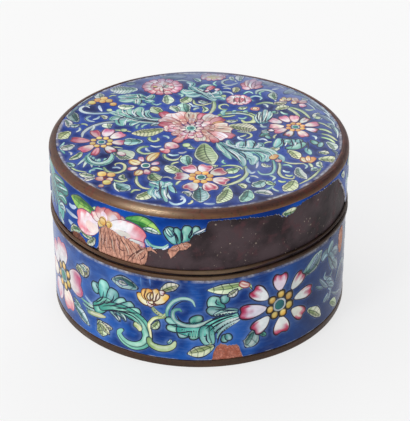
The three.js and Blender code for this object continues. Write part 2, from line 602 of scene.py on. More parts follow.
def foot_strip():
    """The flat strip round the foot, with two small round corners, darkened all over."""
    inner, corner = FOOT_R - FOOT_DEPTH, FOOT_CORNER_R
    foot = np.vstack([[[inner, FOOT_LOW]], arc(FOOT_R - corner, FOOT_LOW + corner, corner, -90, 0, 4),
                      arc(FOOT_R - corner, FOOT_TOP - corner, corner, 0, 90, 4), [[inner, FOOT_TOP]]])
    strip = turned_piece("foot_strip", foot, RIM, ["foot_ring"],
                         dent=slightly_bent(9, 0.1, 0.0))
    float_attribute(strip, "grime", np.full(len(points_of(strip)), 0.68))


top_strip()
mouth_bead("lid_mouth_bead", LID_BEAD_R, LID_BEAD_LOW, LID_BEAD_TOP, "lid_mouth_rim", 5, 1.9, 1.1)
mouth_bead("base_mouth_bead", BASE_BEAD_R, BASE_BEAD_LOW, BASE_BEAD_TOP, "base_mouth_rim", 7, 1.1, 1.3)
foot_strip()

# %% [markdown]
# ## The enamel coat
# Blue glass about 0.7 mm thick covers the copper between the rims. It could be a colour on the copper, but
# the broken edge at the front of the lid has to show a real step, so the glass is made as closed shells.
# The top is very slightly uneven, as fired glass is, and the painting later follows the same unevenness.

# %% Where the enamel lies
ENAMEL_R = 50.0  # outside of the blue coat on both walls
ENAMEL_BACK_R = WALL_R + 0.05
TOP_GLASS_Z = LID_TOP - 0.2
TOP_GLASS_R = TOP_RIM_R - CORNER_R - 0.07
LID_GLASS_TOP, LID_GLASS_LOW = TOP_RIM_LOW - 0.05, LID_BEAD_TOP + 0.05
BASE_GLASS_TOP, BASE_GLASS_LOW = BASE_BEAD_LOW - 0.05, FOOT_TOP + 0.05
ARC_MM = math.radians(1) * ENAMEL_R  # millimetres along the wall for each degree round the box


def top_height(x, y):
    """Height of the glass on the lid's top: a flat plate with a swell of a few hundredths."""
    swell = np.sin(x * 0.11 + 1.0) * np.sin(y * 0.09 + 0.4) + 0.6 * np.sin(x * 0.23 - y * 0.19)
    return TOP_GLASS_Z + 0.05 * swell


def top_glare(x, y):
    """Where a painted grey glare, a reflection, lies on the top: up to 0.7 along the far edge,
    0.3 in a patch in front.
    """
    far = np.maximum(np.hypot(x, y), 1)
    patchy = 0.75 + 0.45 * noise_2d(x, y, 21, 3.0, 4)
    edge = 0.78 * patchy * ease(35, 47.5, far) * ease(0.1, 0.95, (0.3 * x + 0.95 * y) / far)
    return edge + 0.3 * patchy * np.exp(-((x - 20) / 7) ** 2 - ((y + 21) / 5) ** 2)


def wall_radius(degrees, z):
    """Radius of the glass on the walls: a true cylinder with a swell of a few hundredths."""
    return ENAMEL_R + 0.03 * np.sin(np.radians(degrees) * 7 + z * 0.2) - 0.03


print("glass on the top at height", round(float(top_height(0, 0)), 2))

# %% [markdown]
# The broken edge is a line of (degrees, height) points, listed from left to right. Between them it
# is made ragged by small random steps, as glass breaks in splinters and never along a smooth curve.

# %% The broken edge
LID_BREAK = [
    (-57, 38), (-55, 39.4), (-51.5, 39.9), (-48.5, 39.2), (-46.4, 37.9), (-41.5, 37.9), (-40.3, 39.5),
    (-39.8, 45.8), (-38, 47.4), (-36, 48.2), (-33, 47.4), (-30, 46.3), (-26, 45.8), (-23, 44.9),
    (-20.6, 43.8), (-19, 44.5), (-13, 44.3), (-10.5, 45.2), (-8.5, 46.8), (-6, 47.4), (-4, 48.2),
    (-2.5, 50), (0, 51), (2.2, 51.8), (2.9, 54.9), (4, 55.5), (12, 55.6), (20, 55.1), (25, 54.4),
    (30, 54.3), (31.5, 53), (34, 52.3), (36.5, 52.8), (38, 54.3), (41, 55.2), (50, 55.4), (61, 55.3),
    (65, 54.4), (69.5, 50.6), (74, 46), (78, 41.6), (80.5, 38),
]
BASE_CHIP = [(4.6, 2), (5.2, 5.6), (6.4, 7.9), (8, 8.9), (10, 8.4), (12, 7.8), (14, 8.1), (15, 7),
             (15.8, 4.6), (16.6, 2)]  # one small chip over the foot
SPLINTER = 0.28


def ragged(degrees, seed, size):
    """A fine broken line of about the given size: linear steps between random heights every half degree."""
    knots = np.arange(-180, 180.1, 0.5)
    random = np.random.default_rng(seed)
    heights = random.normal(0, size, len(knots)) * random.uniform(0.2, 1, len(knots))
    heights[-1] = heights[0]
    return np.interp(degrees, knots, heights)


def broken_edge(line, lowest, seed):
    """Returns a function of degrees: the height of the glass's lower edge, ragged where it is broken."""
    def edge(degrees):
        degrees = (np.asarray(degrees) + 180) % 360 - 180
        height = np.interp(degrees, *zip(*line))
        torn = height + ragged(degrees, seed, SPLINTER)
        return np.maximum(np.where(height > lowest + 0.1, torn, height), lowest)
    return edge


lid_break = broken_edge(LID_BREAK, LID_GLASS_LOW, 11)
base_break = broken_edge(BASE_CHIP, BASE_GLASS_LOW, 12)
print("glass left above", lid_break(0).round(1), "mm at the front of the lid")

# %% [markdown]
# The blue is not flat: it was brushed on, so it has clouds, faint strokes round the box, pinholes and a
# worn, paler film. One recipe gives all of that, and the three blues of the box differ only in its values.
# Glass could be see-through here, but over 0.7 mm of cobalt no copper shows, so a glossy coat is enough.

# %% Enamel materials
BRUSH_STRETCH = (1.0, 1.0, 5.0)  # brush strokes are long round the box and narrow in height


def blue_enamel(name, deep, middle, pale, haze, bleed, shine):
    """Cobalt glass: deep and middle blue in clouds, paler brush strokes, dark pinholes and a dull film."""
    glass = Finish(name, Specular_IOR_Level=shine, Coat_Weight=0.4 * shine, Coat_Roughness=0.06)
    drawn = glass.node("ShaderNodeMapping", {"Vector": glass.place(), "Scale": BRUSH_STRETCH}).outputs[0]
    brushed = glass.spread(glass.noise(drawn, Scale=260.0, Detail=3.0), 0.5, 0.75)
    film = glass.use(CLOUDS, Scale=38.0, Low=0.45, High=0.75)
    fine = glass.use(CLOUDS, Scale=260.0, Low=0.25, High=0.7)
    holes = glass.use(SPECKS, Scale=700.0, Size=0.16, Share=0.12)
    edge = glass.marked("broken")
    crumbly = glass.use(CLOUDS, Scale=900.0, Low=0.3, High=0.7)
    colour = glass.mix(glass.use(CLOUDS, Scale=75.0, Low=0.3, High=0.7, Distortion=0.5), deep, middle)
    # The haze mark paints a grey glare, a reflection, over the top's far edge and the base's left.
    for code, mask, strength in ((pale, brushed, haze), (pale, film, haze),
                                 (pale, glass.times(fine, glass.marked("bloom")), bleed),
                                 ("10162e", holes, 0.8),
                                 # painted shade: the darkening mark darkens the right of the base's glass
                                 (GLARE_GREY, glass.marked("haze"), 1.0), ("1c2444", glass.marked("grime"), 1.0)):
        colour = glass.tint(colour, code, mask, strength)
    glass.set("Base Color", glass.mix(edge, colour, glass.mix(crumbly, "8a7f7c", "d9dce4")))
    rough = glass.plus(glass.times(film, 0.16), 0.2)
    glass.set("Roughness", glass.plus(rough, glass.times(edge, 0.5), True))
    ripple = glass.use(CLOUDS, Scale=300.0, Low=0.2, High=0.8)
    glass.bump(glass.plus(ripple, glass.times(holes, -1.5)), 0.12, 0.0002)
    return glass.material


def plain_enamel(name, deep, pale):
    """Counter-enamel inside and underneath: pale turquoise, cloudy, with small dark pits."""
    glass = Finish(name, Coat_Weight=0.2, Coat_Roughness=0.15)
    cloudy = glass.use(CLOUDS, Scale=60.0, Low=0.3, High=0.7, Distortion=0.4)
    pits = glass.use(SPECKS, Scale=500.0, Size=0.2, Share=0.25)
    glass.set("Base Color", glass.tint(glass.mix(cloudy, deep, pale), "4c6a66", pits, 0.8))
    glass.set("Roughness", glass.plus(glass.times(cloudy, 0.15), 0.22))
    glass.bump(pits, 0.25, 0.0002, invert=True)
    return glass.material


TOP_BLUE = blue_enamel("blue of the top", "040f48", "0e3c9c", "6c84c8",
                       haze=0.08, bleed=0.58, shine=0.07)
LID_BLUE = blue_enamel("blue of the lid wall", "062c74", "0c4caa", "3e6cbc",
                       haze=0.04, bleed=0.4, shine=0.04)
BASE_BLUE = blue_enamel("blue of the base wall", "07276a", "1757ac", "7a9ad0",
                        haze=0.14, bleed=0.6, shine=0.1)
INSIDE = plain_enamel("counter-enamel", "8fc4c0", "b5dcd6")
print("enamels:", [m.name for m in bpy.data.materials if "blue" in m.name or "counter" in m.name])

# %% [markdown]
# The top is a plate, turned like the rims, but its outline reaches the axis. Closing it there with a hole
# or a heap of points in one place would leave a pinched spot, so each disc has one pole above and one below.

# %% Glass on the top
TOP_RINGS, TOP_THICKNESS = 84, 0.6


def disc_faces(around, rings):
    """Faces of a closed solid of revolution whose first and last points are single poles on the axis.
    Rings run from the first pole outwards and back to the last pole."""
    i, j = np.meshgrid(np.arange(rings - 1), np.arange(around), indexing="ij")
    j2 = (j + 1) % around
    quads = 1 + np.stack([i * around + j, (i + 1) * around + j, (i + 1) * around + j2, i * around + j2], -1)
    k = 1 + np.arange(around)
    k2, last = 1 + k % around, (rings - 1) * around
    first_fan = np.stack([np.zeros(around, int), k, k2], -1)
    last_fan = np.stack([np.full(around, 1 + last + around), last + k2, last + k], -1)
    return quads.reshape(-1, 4).tolist() + first_fan.tolist() + last_fan.tolist()


def turned_disc(name, outline, material, height=None, around=432):
    """Turns an outline of (radius, height) points, from a pole above to a pole below, about the axis.
    height(x, y) gives the height of the points whose outline height is not a number."""
    angle = np.linspace(0, 2 * np.pi, around, endpoint=False)
    r = outline[1:-1, 0][:, None]
    x, y = r * np.sin(angle), -r * np.cos(angle)
    z = np.repeat(outline[1:-1, 1][:, None], around, 1)
    ends = outline[[0, -1], 1].copy()
    if height:
        z = np.where(np.isnan(z), height(x, y), z)
        ends = np.where(np.isnan(ends), height(0.0, 0.0), ends)
    points = np.vstack([[[0, 0, ends[0]]], np.stack([x, y, z], -1).reshape(-1, 3), [[0, 0, ends[1]]]])
    return make_piece(name, points, disc_faces(around, len(outline) - 2), material)


def top_coat():
    """The blue plate of the lid's top, worn pale at its edge, with a painted grey glare at the back."""
    rings = np.linspace(0, TOP_GLASS_R, TOP_RINGS)
    under = TOP_GLASS_Z - TOP_THICKNESS
    face = np.stack([rings, np.full(TOP_RINGS, np.nan)], -1)
    outline = np.vstack([face, [[TOP_GLASS_R, under], [0, under]]])
    piece = turned_disc("lid_top_glass", outline, TOP_BLUE, top_height)
    x, y, z = points_of(piece).T
    worn = 0.5 + 0.9 * noise_2d(np.arctan2(x, -y) * 47, 0 * x, 6, 2.0, 3)
    float_attribute(piece, "broken", np.clip(worn, 0, 0.9) * ease(46.4, 47.1, np.hypot(x, y)))
    float_attribute(piece, "haze", top_glare(x, y))


top_coat()

# %% [markdown]
# On the walls the glass ends below at its broken edge. A Boolean cut would leave ragged faces there. Here
# each column of points starts at the height of the break, so the whole coat stays one closed grid.

# %% Glass round a wall
BACK_STEP, EDGE_STEP = 0.3, 0.25  # the broken slope: how far out it starts, and how high it is
WALL_ROWS = 34


def wall_coat(name, lower, top, material, rise=0.0):
    """Glass round a wall, up to the height top, and higher by rise where the lid is sprung. Each column is
    a closed outline: up the outside from the lower edge to the top, and down the back. The outside starts
    a little below where the glass is whole, as a broken slope."""
    angle = np.concatenate([np.arange(-180, -90, 1.0), np.arange(-90, 90, 0.25), np.arange(90, 180, 1.0)])
    low, top = lower(angle)[:, None], top + rise * sprung(angle)[:, None]
    step = np.minimum(EDGE_STEP, (top - low) * 0.3)
    z = low + step + (top - low - step) * np.linspace(0, 1, WALL_ROWS) ** 1.3
    back = np.full_like(low, ENAMEL_BACK_R)
    r = np.hstack([back + BACK_STEP, wall_radius(angle[:, None], z), back, back])
    z = np.hstack([low, z, top, low])
    faces = ring_faces(len(angle), WALL_ROWS + 3)
    piece = make_piece(name, round_axis(r, np.radians(angle)[:, None], z), faces, material)
    float_attribute(piece, "broken", broken_marks(angle, low, z))
    return piece


def broken_marks(angle, low, z):
    """How broken and pale each point looks: the lower edge where glass is lost, and the worn upper edge."""
    marks = np.zeros_like(z)
    marks[:, [0, -1]], marks[:, 1] = 1, 0.45
    marks = np.where(low <= low[0] + 0.05, 0.0, marks)
    worn = 0.55 + 0.8 * noise_2d(angle * ARC_MM, 0 * angle, 5, 2.5, 3)
    marks[:, WALL_ROWS:WALL_ROWS + 2] = np.clip(worn, 0, 1)[:, None]
    marks[:, 1] = np.maximum(marks[:, 1], np.clip(worn - 0.35, 0, 0.6))
    return marks


wall_coat("lid_wall_glass", lid_break, LID_GLASS_TOP, LID_BLUE)
wall_coat("base_wall_glass", base_break, BASE_GLASS_TOP, BASE_BLUE, 1.1)

# %% [markdown]
# ## Painting with strokes
# The painter laid opaque colours on the fired blue, one stroke at a time, then drew dark outlines and veins.
# A painted picture on the glass would give the colours, but not the small relief that catches the light, so
# each stroke is a real pad of glass a few hundredths of a millimetre thick: a centreline, a width that
# swells and tapers, and a dark edge. Later strokes lie a little higher than earlier ones and cover them.
# The colours sit in a colour attribute, worked out from how far along and across the stroke a point is.

# %% A smooth centreline


def smooth_line(points, fine=20):
    """A curve through hand-set points, each stretch a cubic whose ends follow the neighbouring points."""
    p = np.asarray(points, float)
    ends = np.vstack([2 * p[0] - p[1], p, 2 * p[-1] - p[-2]])
    a, b, c, d = ends[:-3, None], ends[1:-2, None], ends[2:-1, None], ends[3:, None]
    t = np.linspace(0, 1, fine, endpoint=False)[None, :, None]
    second, third = 2 * a - 5 * b + 4 * c - d, 3 * b - a - 3 * c + d
    line = 0.5 * (2 * b + (c - a) * t + second * t ** 2 + third * t ** 3)
    return np.vstack([line.reshape(-1, 2), p[-1]])


def bowed(start, end, bow):
    """Three points from start to end, the middle one moved sideways by bow times the length."""
    along = end - start
    return [start, (start + end) / 2 + bow * np.array([-along[1], along[0]]), end]


print("a curve through 3 points has", len(smooth_line([(0, 0), (1, 1), (2, 0)])), "points")

# %% [markdown]
# A stroke's look is a small set of values, and the painter used few kinds of stroke again and again. Each
# could be a material of its own, but forty materials would be slow and hard to match, so a kind is only a
# row of values: its colours, how it swells and tapers, and how its lines, its glow and its edge are drawn.

# %% The values of a stroke
# line and edge: colours of the lines on it and of its outline; glow: colour of its pale band; ends: how fast
# the width grows and tapers (0.5 is round, 1 is pointed); ribs: lines along it, as shares of the half width;
# veins: lines across its darker half; slant and notch: how far its middle runs ahead, and lags at the tip;
# streak and dab: how streaky and how patchy the change of colour is; turn: where base gives way to tip;
# rim and halo: widths of the outline and of the ground colour round it; glowing: strength of the pale band
# along one side; side: which side; border: strength of the pale band inside the outline; thin and mark:
# thickness and strength of the lines; hatch: strength of the veins on the light half; shade: how much darker
# one half is; pen: a thin line of one colour, which needs a coarser grid.
USUAL = dict(line="1e3a2e", edge="101e42", glow="f2f3dc", ends=(0.8, 1.0), ribs=(0,), veins=0, slant=0.0,
             notch=0.0, streak=0.0, dab=0.3, turn=(0.1, 0.9), rim=0.7, halo=0.1, glowing=0.0, side=1,
             border=0.0, thin=0.24, mark=0.9, hatch=0.0, shade=0.0, pen=False)
LEAF = dict(veins=3, slant=0.95, thin=0.2, mark=0.95, hatch=0.5, shade=0.42, glowing=0.75, border=1.0,
            rim=0.5)
ACANTHUS = dict(ends=(0.6, 0.48), ribs=(), edge="0a1a34", glowing=0.6, side=0.6, dab=0.5)
SCROLL = dict(ends=(0.3, 0.42), ribs=(0.45,), line="0a2030", edge="0a1e3e", glowing=0.6, side=-0.6, rim=0.5)
VINE = dict(ends=(0.35, 0.5), ribs=(), rim=0.34, glowing=0.8, side=0)
PETAL = dict(ends=(0.75, 0.46), ribs=(), rim=0.5, turn=(0.3, 0.95), glowing=0.3, streak=0.14, side=0)
RIBBED = dict(ends=(0.6, 0.42), ribs=(-0.5, 0.0, 0.5), rim=0.4)
ROUND = dict(ends=(0.5, 0.5), ribs=())
FILM = dict(ends=(0.6, 0.5), ribs=(), rim=0.15, halo=0.04, glowing=0.4, dab=0.5)
PEN = dict(pen=True, ends=(0.6, 0.8), ribs=(), rim=0.12, halo=0.05)
CRUMB = dict(pen=True, ends=(0.5, 0.8), ribs=(), rim=0.1, halo=0.05)


def kind(family, base, tip, **changes):
    """A kind of stroke: the usual values, then those of its family, then its own."""
    return {**USUAL, **family, "base": base, "tip": tip, **changes}


print("a stroke has", len(kind({}, "", "")), "values")

# %% Kinds of stroke
KINDS = {
    "yellow leaf": kind(LEAF, "98b26c", "e6e9b6", glow="fbfbe6", line="1c3626", veins=4, shade=0.34),
    "green leaf": kind(LEAF, "3f8a60", "b8d89c", glow="f2f8de", line="0e2c22"),
    "teal leaf": kind(LEAF, "1f7874", "98d2c6", glow="ecfaf4", line="082430"),
    "pale leaf": kind(LEAF, "7cac96", "e2ecd6", glow="fdfef6", line="1e4640", edge="1e3670", mark=0.9),
    "bright leaf": kind(LEAF, "2f8a3a", "b4d45e", glow="c2e08c", line="14502c", edge="123a4a", veins=4,
                        shade=0.35, glowing=0.5, border=0.2, dab=0.6, mark=0.8, rim=0.7),
    "deep leaf": kind(LEAF, "176c6a", "4fa89a", glow="7cc4b4", line="0c2a36", glowing=0.3, border=0.3,
                      mark=0.8, rim=0.7),
    # hazy leaf: dim grey leaves, standing for painted shade on the base's right and glare at the top's edge
    "hazy leaf": kind({}, "4e7480", "8aa8b4", glow="b4c8d2", line="24344c", edge="22305a", ends=(0.6, 0.6),
                      glowing=0.5, shade=0.2, mark=0.7),
    "pale acanthus": kind({}, "74b5b0", "c6e6de", glow="f0f8f4", line="16304e", edge="16305e",
                          ends=(0.45, 0.6), ribs=(-0.3, 0.35), glowing=0.7),
    "mass": kind(ACANTHUS, "62a8a6", "a2d4cc", glow="d8f2ec", edge="2a6e80", ends=(0.5, 0.55), side=1,
                 rim=0.3, halo=0.06, dab=0.7),
    "lobe": kind(ACANTHUS, "3f9a94", "92cec2", glow="d2eee6", shade=0.15),
    "deep lobe": kind(ACANTHUS, "1e7672", "4aa096", glow="8ccabe", line="0e2a3c", ribs=(-0.2,), glowing=0.45,
                      dab=0.6, shade=0.2),
    "feather": kind({}, "8cc2bc", "e0f0ea", edge="0a1630", ends=(0.7, 0.7), ribs=(), rim=0.45),
    "scroll": kind(SCROLL, "3f9a90", "8cd0c2", glow="c8ece2", glowing=0.7, rim=0.6, dab=0.4),
    "deep scroll": kind(SCROLL, "1f7672", "4ea298", glow="84c8bc", dab=0.5),
    "cream scroll": kind(SCROLL, "9db874", "e6e8b4", glow="f6f4d6", edge="15253c", ends=(0.35, 0.5), ribs=(),
                         glowing=0.8, side=0.5, dab=0.4),
    "vine": kind(VINE, "8fb47c", "d4dba2", glow="f0f3d2", edge="1c3c5c", glowing=0.9),
    "teal vine": kind(VINE, "5aaaa0", "a8d8cc", glow="def2ea", edge="143a5e"),
    "grey vine": kind(VINE, "8ea8aa", "ced8d4", glow="e8efe6", edge="28407a"),
    "pale vine": kind(VINE, "9dbcd2", "dfeaf2", edge="4a6cb0", ends=(0.4, 0.5), rim=0.2, glowing=0.0),
    "pink petal": kind(PETAL, "f8e8e6", "cc3c70", glow="fdf4f2", edge="64183e", glowing=0.4, streak=0.12,
                       border=0.4),
    "rose petal": kind(PETAL, "f0b0b4", "c03a5c", glow="f6d0d2", edge="6a1a34", turn=(0.25, 0.95),
                       glowing=0.45, dab=0.4, side=1),
    "white petal": kind(PETAL, "f8f2f3", "b81846", glow="ffffff", edge="220e28", ends=(0.9, 0.46),
                        turn=(0.5, 0.95), dab=0.22, rim=0.8),
    "blotched petal": kind(PETAL, "f8f0ee", "b4284e", glow="fff8f4", edge="5c1c3c", turn=(0.3, 0.72),
                           border=0.9),
    "peach petal": kind(PETAL, "fbeee8", "e08088", glow="fffaf6", edge="943450", ends=(0.6, 0.47),
                        glowing=0.5, streak=0.16, dab=0.6, rim=0.4),
    "soft petal": kind(PETAL, "f6eeec", "dc7690", glow="ffffff", edge="94365a", ends=(0.6, 0.47),
                       turn=(0.35, 1.05), streak=0.1, dab=0.45, rim=0.35),
    "salmon petal": kind(RIBBED, "dc9084", "f8e0d4", glow="fdeee0", line="b4625c", edge="983c40",
                         glowing=0.5, streak=0.2, dab=0.8, mark=0.45, rim=0.45),
    "peony petal": kind(RIBBED, "e09c90", "fdf2ec", glow="fff4ee", line="a8605c", edge="9c4852",
                        turn=(0.3, 0.85), glowing=0.4, streak=0.16, dab=0.6, mark=0.4),
    "yellow petal": kind({}, "fbf2d0", "f2c050", glow="fff8dd", line="d89048", edge="8a4428",
                         ends=(0.85, 1.0), turn=(0.25, 1.0), glowing=0.45),
    "bead": kind(ROUND, "f2d47e", "e4b458", glow="fbeab0", edge="7a3424", glowing=0.7, rim=0.45, halo=0.12,
                 dab=0.5),
    "big bead": kind(ROUND, "f2cc6c", "e2aa48", glow="f8e6a4", edge="1c1210", glowing=0.6, rim=1.0, dab=0.7),
    "orange bead": kind(ROUND, "f8ca7a", "ec9c48", glow="ffe0a0", edge="96381c", glowing=0.6, rim=0.4,
                        halo=0.12),
    "white ring": kind(ROUND, "eef6f0", "dcecea", edge="2c5566", rim=0.2),
    "green eye": kind(ROUND, "2a8577", "1d6a6e", edge="0f4450", rim=0.3, halo=0.08),
    "dark eye": kind(ROUND, "8c2438", "6a1c2e", edge="4a1824", rim=0.2),
    "mist": kind(FILM, "faf3f0", "f4e0dc", glow="ffffff", edge="f0d0cc"),
    "wash": kind(FILM, "f0c468", "f2d488", glow="fbe8b0", edge="e8a85c", dab=0.6),
    "ink": kind(PEN, "0c1830", "10223c", edge="10204a", halo=0.08, dab=0.05),
    "light": kind(PEN, "dcefe8", "f4faf4", edge="8cc4c0", dab=0.1),
    "hatch": kind(PEN, "6a3a44", "7c4048", edge="8e4a50", dab=0.2),
    "crack": kind(CRUMB, "5a3228", "6a3e32", edge="7e4c3e", dab=0.1),
    "crumbs": kind(CRUMB, "e0b4a4", "d8a898", edge="b88070"),
    "streak": kind(CRUMB, "5c88cc", "4470bc", edge="3a64b0", ends=(0.5, 1.5)),
}
print(len(KINDS), "kinds of stroke")

# %% The grid of a stroke
BORDER = 0.5  # width of the light band inside the outline
VEIN_REACH = (0.08, 0.85)  # veins run from near the centreline almost to the edge
SMALL_WIDTH, SMALL_LENGTH = 3.2, 4.5  # below these a stroke's outline gets thinner with it
WOBBLE = 0.09


def stroke_rows(length, style, steps):
    """Shares of the length where the cross lines of a stroke's grid lie: at the edge steps of both ends,
    three for each vein, and evenly between. Also returns the middles of the veins."""
    ends = steps / length
    veins = np.linspace(0.18, 0.82, style["veins"]) if style["veins"] else np.zeros(0)
    thin = style["thin"] / length
    trios = (veins[:, None] + thin * np.array([-1.5, 0, 1.5])).ravel()
    count = max(4, int(length / (1.3 if style["veins"] else 1.05 if style["pen"] else 0.85)))
    even = np.linspace(ends[-1], 1 - ends[-1], count + 2)[1:-1]
    if len(veins):
        even = even[np.abs(even[:, None] - veins).min(1) > 2.4 * thin]
    return np.unique(np.concatenate([ends, 1 - ends, trios, even]).round(5)), veins


def stroke_lines(half, style, steps):
    """Distances from the centreline of a stroke's long lines, for each row: edge steps, ribs, and lines
    between."""
    edge = half[:, None] * (1 - steps / half.max())
    inner = edge[:, -1:]
    thin = np.minimum(style["thin"], 0.12 * half)[:, None]
    lines = [-edge, edge[:, ::-1]]
    for share in style["ribs"]:
        lines.append(share * inner + thin * np.array([-1.5, 0, 1.5]))
    for share in (0.0,) if style["pen"] else (-0.7, 0.0, 0.7):
        if not style["ribs"] or np.abs(np.array(style["ribs"]) - share).min() > 0.3:
            lines.append(share * inner)
    return np.sort(np.hstack(lines), 1), thin


def along_and_left(fine, run, u):
    """Places on the centreline at shares u of its length, and the unit directions ahead and to the left."""
    def at(distance):
        return np.stack([np.interp(distance, run, fine[:, k]) for k in (0, 1)], -1)
    nearby = np.clip(u[:, None] * run[-1] + np.array([-0.3, 0.3]), 0, run[-1])
    ahead = at(nearby[:, 1]) - at(nearby[:, 0])
    ahead /= np.linalg.norm(ahead, axis=1, keepdims=True)
    return at(u * run[-1]), ahead, np.stack([-ahead[:, 1], ahead[:, 0]], -1)


class Stroke:
    """A pad along a curve, on the flat. Half width = width/2 * u^p * (1-u)^q, scaled to reach width/2 at its
    widest, and the whole is wobbled by a tenth of a millimetre. u is a point's share of the length, across
    its distance from the centreline, and share that distance as a part of the half width."""

    def __init__(self, points, width, style, seed):
        fine = smooth_line(points)
        run = np.concatenate([[0], np.cumsum(np.linalg.norm(np.diff(fine, axis=0), axis=1))])
        length = run[-1]
        small = min(1.0, width / SMALL_WIDTH, length / SMALL_LENGTH)
        halo, rim, border = style["halo"] * min(1.0, 1.4 * small), style["rim"] * small, BORDER * small
        width = width + 2 * halo
        steps = np.cumsum([0, halo, rim / 4, rim / 2, rim / 4, border])
        used = steps[[0, 1, -1]] if style["pen"] else steps
        u, self.veins = stroke_rows(length, style, used)
        p, q = style["ends"]
        peak = (p / (p + q)) ** p * (q / (p + q)) ** q
        half = width / 2 * u ** p * (1 - u) ** q / peak
        centre, ahead, left = along_and_left(fine, run, u)
        self.across, self.thin = stroke_lines(half, style, used)
        self.share = self.across / np.maximum(half, 1e-6)[:, None]
        self.u, self.style, self.steps, self.rim, self.border = u[:, None], style, steps, rim, border
        self.vein_half = 0.5 * style["thin"] / length
        self.inner = (half * (1 - steps[-1] / half.max()))[:, None]
        forward = style["slant"] * np.abs(self.across) * (1 - self.u) * np.minimum(1, 4 * self.u)
        middle = np.exp(-(self.across / (0.2 * width)) ** 2)
        forward = forward - style["notch"] * middle * ease(0.6, 1, self.u)
        place = centre[:, None] + left[:, None] * self.across[..., None]
        place = place + ahead[:, None] * forward[..., None]
        self.to_edge = self.edge_distance(half, length)
        x, y = place[..., 0], place[..., 1]
        self.place = place + WOBBLE * np.stack([noise_2d(x, y, seed % 40 + k, 1.6, 2) for k in (0, 7)], -1)
        self.height = np.interp(self.to_edge, [0, steps[1], steps[2]], [0, 0.75, 1])
        self.tile = np.stack(np.broadcast_arrays(self.u, (self.share + 1) / 2), -1)

    def edge_distance(self, half, length):
        """Distance to the nearest edge, rounded where side and end meet: a*b / (a^3 + b^3)^(1/3)."""
        side = (1 - np.abs(self.share)) * half.max() + 1e-9
        end = np.minimum(self.u, 1 - self.u) * length + 1e-9
        return side * end / (side ** 3 + end ** 3) ** (1 / 3)


trial = Stroke([(0, 0), (5, 2), (10, 0)], 3.0, KINDS["teal leaf"], 1)
print("a small leaf has", trial.u.size, "rows of", trial.across.shape[1], "points")

# %% The colours of a stroke
BLED = "c4d4f4"  # the pale blue that the ground turns beside a stroke


def blend_to(colour, other, amount):
    """Colours turned towards another by an amount for each point."""
    amount = amount[..., None]
    return colour * (1 - amount) + other * amount


def body_colour(stroke, seed, random):
    """Base colour turning to tip colour in dabs and streaks, a pale band on one side, a darker half."""
    style, u, share = stroke.style, stroke.u, stroke.share
    x, y = stroke.place[..., 0], stroke.place[..., 1]
    dab = style["dab"] * noise_2d(x, y, seed % 50, 1.5, 2)
    streaky = style["streak"] * np.cos(share * 9 + random.uniform(0, 6))
    turned = ease(*style["turn"], u + streaky + dab)
    colour = blend_to(display(style["base"]), display(style["tip"]), turned)
    band = hill(share, 0.35 * style["side"], 0.3) * ease(0.02, 0.25, u)
    band = band * (1 - ease(0.7, 1.0, u)) * style["glowing"] * (1 + dab)
    colour = blend_to(colour, display(style["glow"]), np.clip(band, 0, 1))
    colour = colour * (1 - style["shade"] * ease(0.05, -0.5, share * style["side"]))[..., None]
    pale = style["border"] * hill(stroke.to_edge, stroke.steps[4], 0.6 * stroke.border)
    return blend_to(colour, display(style["glow"]), pale)


def line_marks(stroke):
    """Where the drawn lines lie: ribs along the stroke, and veins across it."""
    style, u, share = stroke.style, stroke.u, stroke.share
    marks = np.zeros(stroke.across.shape)
    for rib in style["ribs"]:
        near = np.abs(stroke.across - rib * stroke.inner) < 0.5 * stroke.thin
        marks = np.maximum(marks, near & ((u > 0.06) & (u < 0.9)))
    if len(stroke.veins):
        low, high = VEIN_REACH
        near = (np.abs(u - stroke.veins).min(1) < stroke.vein_half)[:, None]
        near = near & (np.abs(share) > low) & (np.abs(share) < high)
        marks = np.maximum(marks, near * np.where(share * style["side"] < 0.05, 1, style["hatch"]))
    return style["mark"] * marks


def stroke_colour(stroke, seed, ground):
    """From the edge inwards the colour runs ground, outline, border, body. Every stroke is mixed a little
    differently, as paint on a brush is."""
    style, to_edge, steps = stroke.style, stroke.to_edge, stroke.steps
    random = np.random.default_rng(seed)
    colour = body_colour(stroke, seed, random)
    colour = blend_to(colour, display(style["line"]), line_marks(stroke))
    colour = colour * random.uniform(0.9, 1.06) * random.uniform(0.96, 1.04, 3)
    outline = np.clip(np.minimum(to_edge - steps[1], steps[4] - to_edge) / (stroke.rim / 4), 0, 1)
    colour = blend_to(colour, display(style["edge"]), outline)
    rise = np.clip(to_edge / (steps[1] + 1e-6), 0, 1)
    bled = display(ground) * 0.7 + display(BLED) * 0.3
    halo = blend_to(display(ground), bled, rise)
    return np.clip(np.where((to_edge < steps[1] * 1.02)[..., None], halo, colour), 0, 1)


print("its middle is painted", stroke_colour(trial, 1, "24408c")[trial.u.size // 2, 8].round(2))

# %% [markdown]
# A painting gathers its strokes on the flat, lays them on the glass and joins them into one piece, because
# a thousand separate objects would be slow to handle. Each stroke is a closed pad with its own small tile
# in the map, so that its colours can also be saved as a picture.

# %% A painting
DIP = 0.03  # how far a stroke's edge goes below the blue
FIRST_LIFT, NEXT_LIFT = 0.02, 0.0005  # height of the first stroke, and how much higher each next one lies
TILE_SIZE, TILE_CORNER = (0.92, 0.8), (0.04, 0.15)  # the part of its tile that the top of a stroke fills
UNDER_ROW = (0.04, 0.08, 0.08, 0.04)  # where the underside goes: a narrow strip below the top's part
UNDER_CAPS = ((0.06, 0.08, 0.04), (0.06, 0.04, 0.08))


